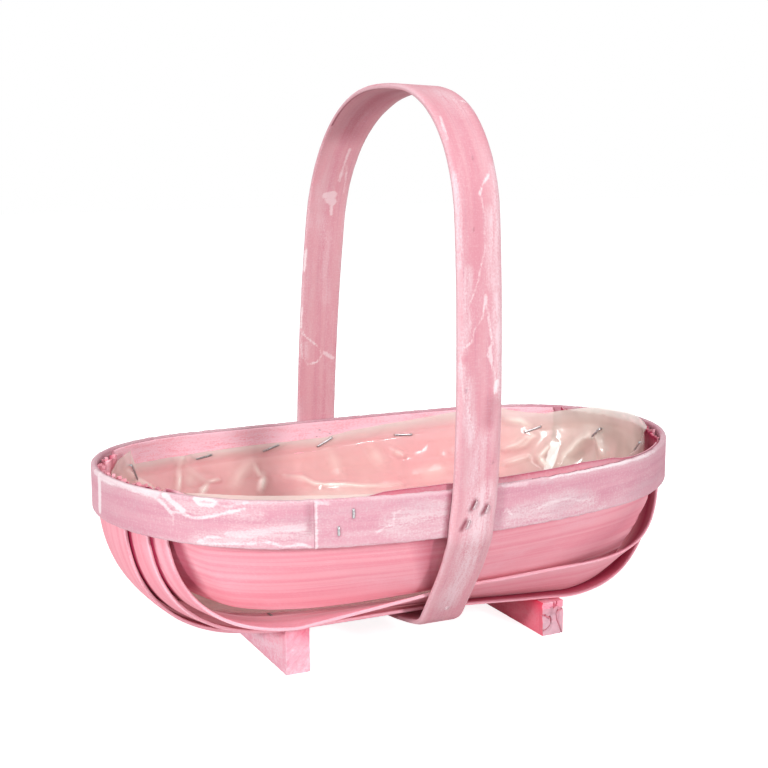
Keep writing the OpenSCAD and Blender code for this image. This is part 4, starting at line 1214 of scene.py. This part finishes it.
staple = {
    "wide": 11.4 * mm, "small": 4.6 * mm, "linerLevel": 0.95, "slant": 62, "stand": 0.45 * mm,
    "linerLeg": 4 * mm, "lapLeg": 3 * mm, "handleLeg": 10 * mm, "boardLeg": 1.6 * mm, "footLeg": 6 * mm,
    "boardInset": 1 / 12, "boardAcross": -0.3, "footAcross": 12 * mm,
    # Turn round the liner, tilt and height above the film of each of its staples
    "liner": [
        (12, -45, 3.2), (36, -20, 2.0), (72, 3, 1), (90, -25, 1), (102, -15, 1), (120, -5, 1), (147, 60, 1.8),
        (162, -6, 1), (180, 3, 1), (198, 0, 1), (216, 5, 1), (234, -8, 1), (252, 3, 1), (270, 6, 1),
        (288, -3, 1), (306, 4, 1), (330, -5, 1), (348, -38, 1.6),
    ],
    "lapSpots": [(12, 0.34), (19.5, 0.69)],
}


def linerStaples():
    spots = []
    for turn, tilt, height in staple["liner"]:
        turn, tilt = math.radians(turn), math.radians(tilt)
        at = filmPoint(staple["linerLevel"], turn)
        beside = filmPoint(staple["linerLevel"], turn + 2 * nudge) - at
        up = at - filmPoint(staple["linerLevel"] - nudge, turn)
        face = unit(np.cross(up, beside))
        way = math.cos(tilt) * unit(beside) + math.sin(tilt) * unit(up)
        spots.append((at + height * mm * face + toMiddle, face, way, staple["wide"], staple["linerLeg"]))
    return spots


def lapStaples():
    spots = []
    for past, share in staple["lapSpots"]:
        point, out, up = (np.array(v) for v in rimStation(rim["lapAt"] + past * mm))
        at = point + (share - 0.5) * rim["height"] * up + staple["stand"] * out
        spots.append((at, out, up, staple["small"], staple["lapLeg"]))
    return spots


def handleStaples(side):
    slant = math.radians(staple["slant"])
    way = (math.cos(slant), 0, math.sin(slant))
    y = side * (handleOut + staple["stand"]) + middleY
    spots = []
    for x, share in handle["stapleSpots"]:
        at = (x * mm - handle["left"], y, rim["low"] + share * rim["height"])
        spots.append((at, (0, side, 0), way, staple["small"], staple["handleLeg"]))
    return spots


def boardStaples(end):
    spots = []
    u, aside = end * (1 - staple["boardInset"]), staple["boardAcross"]
    chosen = [("centre", plainLie, 0, 1), ("outer", plainLie, aside, 1), ("outer", outerLie, aside, -1)]
    for key, lie, v, side in chosen:
        at = boardPoint(boards[key], lie, u, v)
        du = boardPoint(boards[key], lie, u + nudge, v) - at
        dv = boardPoint(boards[key], lie, u, v + nudge) - at
        face = unit(np.cross(du, dv))
        face = -face if face[0] * end > 0 else face
        flip = np.array([1, side, 1])
        at = (at + (board["thickness"] + staple["stand"]) * face) * flip + toMiddle
        way = np.cross((0, 0, 1), face * flip)
        spots.append((at, face * flip, way, staple["small"], staple["boardLeg"]))
    return spots


def footStaples(node):
    low, high = corners(node)
    z = centreZ + board["thickness"] + staple["stand"]
    places = [((low.x + high.x) / 2, side * staple["footAcross"] + middleY, z) for side in (-1, 1)]
    return [(at, (0, 0, 1), (0, 1, 0), staple["wide"], staple["footLeg"]) for at in places]


stapleGroup("linerStapleRow", "liner_staples", linerStaples())
stapleGroup("lapStaplePair", "rim_lap_staples", lapStaples())
stapleGroup("frontHandleStapleSet", "front_handle_staples", handleStaples(-1), washedSteel)
stapleGroup("backHandleStapleSet", "back_handle_staples", handleStaples(1), washedSteel)
stapleGroup("leftBoardStapleSet", "left_board_staples", boardStaples(-1))
stapleGroup("rightBoardStapleSet", "right_board_staples", boardStaples(1))
stapleGroup("leftFootStaplePair", "left_foot_staples", footStaples("left_foot_staples"))
stapleGroup("rightFootStaplePair", "right_foot_staples", footStaples("right_foot_staples"))


# Nails: low domed heads on the handle's flanks
nail = {"radius": 1.6 * mm, "height": 0.6 * mm, "tip": 0.01 * mm, "rings": 6, "sides": 24}


def makeNails():
    slope = math.radians(handle["flankSlope"])
    low, high = corners("handle_nails")
    point = handleStation(legAlong((low.z + high.z) / 2 / mm) * mm)[0]
    points, faces = [], []
    for side in (-1, 1):
        centre = np.array([point[0], middleY - side * (point[1] - middleY), point[2]])
        out = np.array([0, side * math.sin(slope), -math.cos(slope)])
        up = np.cross(out, (1, 0, 0))
        faces += rodFaces(nail["rings"], nail["sides"], len(points))
        for t in np.linspace(0, math.pi / 2, nail["rings"]):
            reach = nail["radius"] * math.cos(t) + nail["tip"]
            for a in 2 * math.pi * np.arange(nail["sides"]) / nail["sides"]:
                spoke = math.cos(a) * np.array([1, 0, 0]) + math.sin(a) * up
                points.append(centre + reach * spoke + nail["height"] * math.sin(t) * out)
    settle(meshPiece("flankNailPair", points, faces, washedSteel, {}), "handle_nails")


makeNails()
print("fasteners made")


# Camera at the photograph's place, from its bearing, pitch and roll
view = {
    "at": (-0.3305, -0.6975, 0.2683), "bearing": -25.11, "pitch": 9.39, "roll": -0.48, "focal": 1391.28,
    "frame": 768, "sensor": 36, "near": 0.01,
}


def makeCamera():
    bearing, pitch, roll = (math.radians(view[key]) for key in ("bearing", "pitch", "roll"))
    level = Vector((-math.sin(bearing), math.cos(bearing), 0))
    ahead = math.cos(pitch) * level - math.sin(pitch) * Vector((0, 0, 1))
    right = Vector((math.cos(bearing), math.sin(bearing), 0))
    up = right.cross(ahead)
    across = math.cos(roll) * right + math.sin(roll) * up
    over = math.cos(roll) * up - math.sin(roll) * right
    data = bpy.data.cameras.new("photoCamera")
    data.sensor_width = view["sensor"]
    data.lens = view["focal"] / view["frame"] * view["sensor"]
    data.clip_start = view["near"]
    camera = link(bpy.data.objects.new("photoCamera", data))
    turn = Matrix((across, over, -ahead)).transposed().to_4x4()
    camera.matrix_world = Matrix.Translation(view["at"]) @ turn
    bpy.context.scene.camera = camera


makeCamera()

# Studio: a pale floor, soft boxes and a white surround
studio = {
    "aim": (0, 0, 0.12), "ambient": 0.38, "floor": 0.7, "floorGlow": 0.86, "floorReach": 6,
    "boxes": [
        {"name": "keyBox", "at": (0.36, -1.8, 0.68), "size": 0.18, "power": 16.2},
        {"name": "fillBox", "at": (-1.55, -0.8, 0.6), "size": 0.22, "power": 17.3},
        {"name": "topBox", "at": (-0.2, -0.2, 1.7), "size": 0.9, "power": 10},
    ],
}


def grey(level):
    return (level, level, level, 1)


# 1 where the eye, a mirror or clear film looks, 0 for light that falls on the object
def seenRays(f):
    kinds = ("Camera", "Glossy", "Transmission")
    eye, mirror, clear = (f.add("LightPath", {}, {}, out="Is %s Ray" % kind) for kind in kinds)
    return f.maths("MAXIMUM", eye, f.maths("MAXIMUM", mirror, clear))


def makeLamps():
    for box in studio["boxes"]:
        data = bpy.data.lights.new(box["name"], "AREA")
        data.size = box["size"]
        data.energy = box["power"]
        lamp = link(bpy.data.objects.new(box["name"], data))
        lamp.location = box["at"]
        lamp.rotation_euler = (Vector(studio["aim"]) - lamp.location).to_track_quat("-Z", "Y").to_euler()


def makeFloor():
    f = Finish("paleFloor", Roughness=0.9, Specular_IOR_Level=0.1, Emission_Strength=1.0)
    glow = f.mix(seenRays(f), grey(0), grey(studio["floorGlow"]))
    mesh = bpy.data.meshes.new("paleFloor")
    reach = studio["floorReach"]
    square = [(reach * x, reach * y, 0) for x, y in ((-1, -1), (1, -1), (1, 1), (-1, 1))]
    mesh.from_pydata(square, [], [(0, 1, 2, 3)])
    mesh.materials.append(f.give(Base_Color=grey(studio["floor"]), Emission_Color=glow))
    link(bpy.data.objects.new("paleFloor", mesh))


def makeSurround():
    world = bpy.data.worlds.new("surround")
    world.use_nodes = True
    bpy.context.scene.world = world
    sky = Finish.around(world.node_tree)
    colour = sky.mix(seenRays(sky), grey(studio["ambient"]), grey(1))
    sky.feed(world.node_tree.nodes["Background"].inputs["Color"], colour)


bpy.context.scene.view_settings.view_transform = "Standard"
makeLamps()
makeFloor()
makeSurround()
print("studio made")
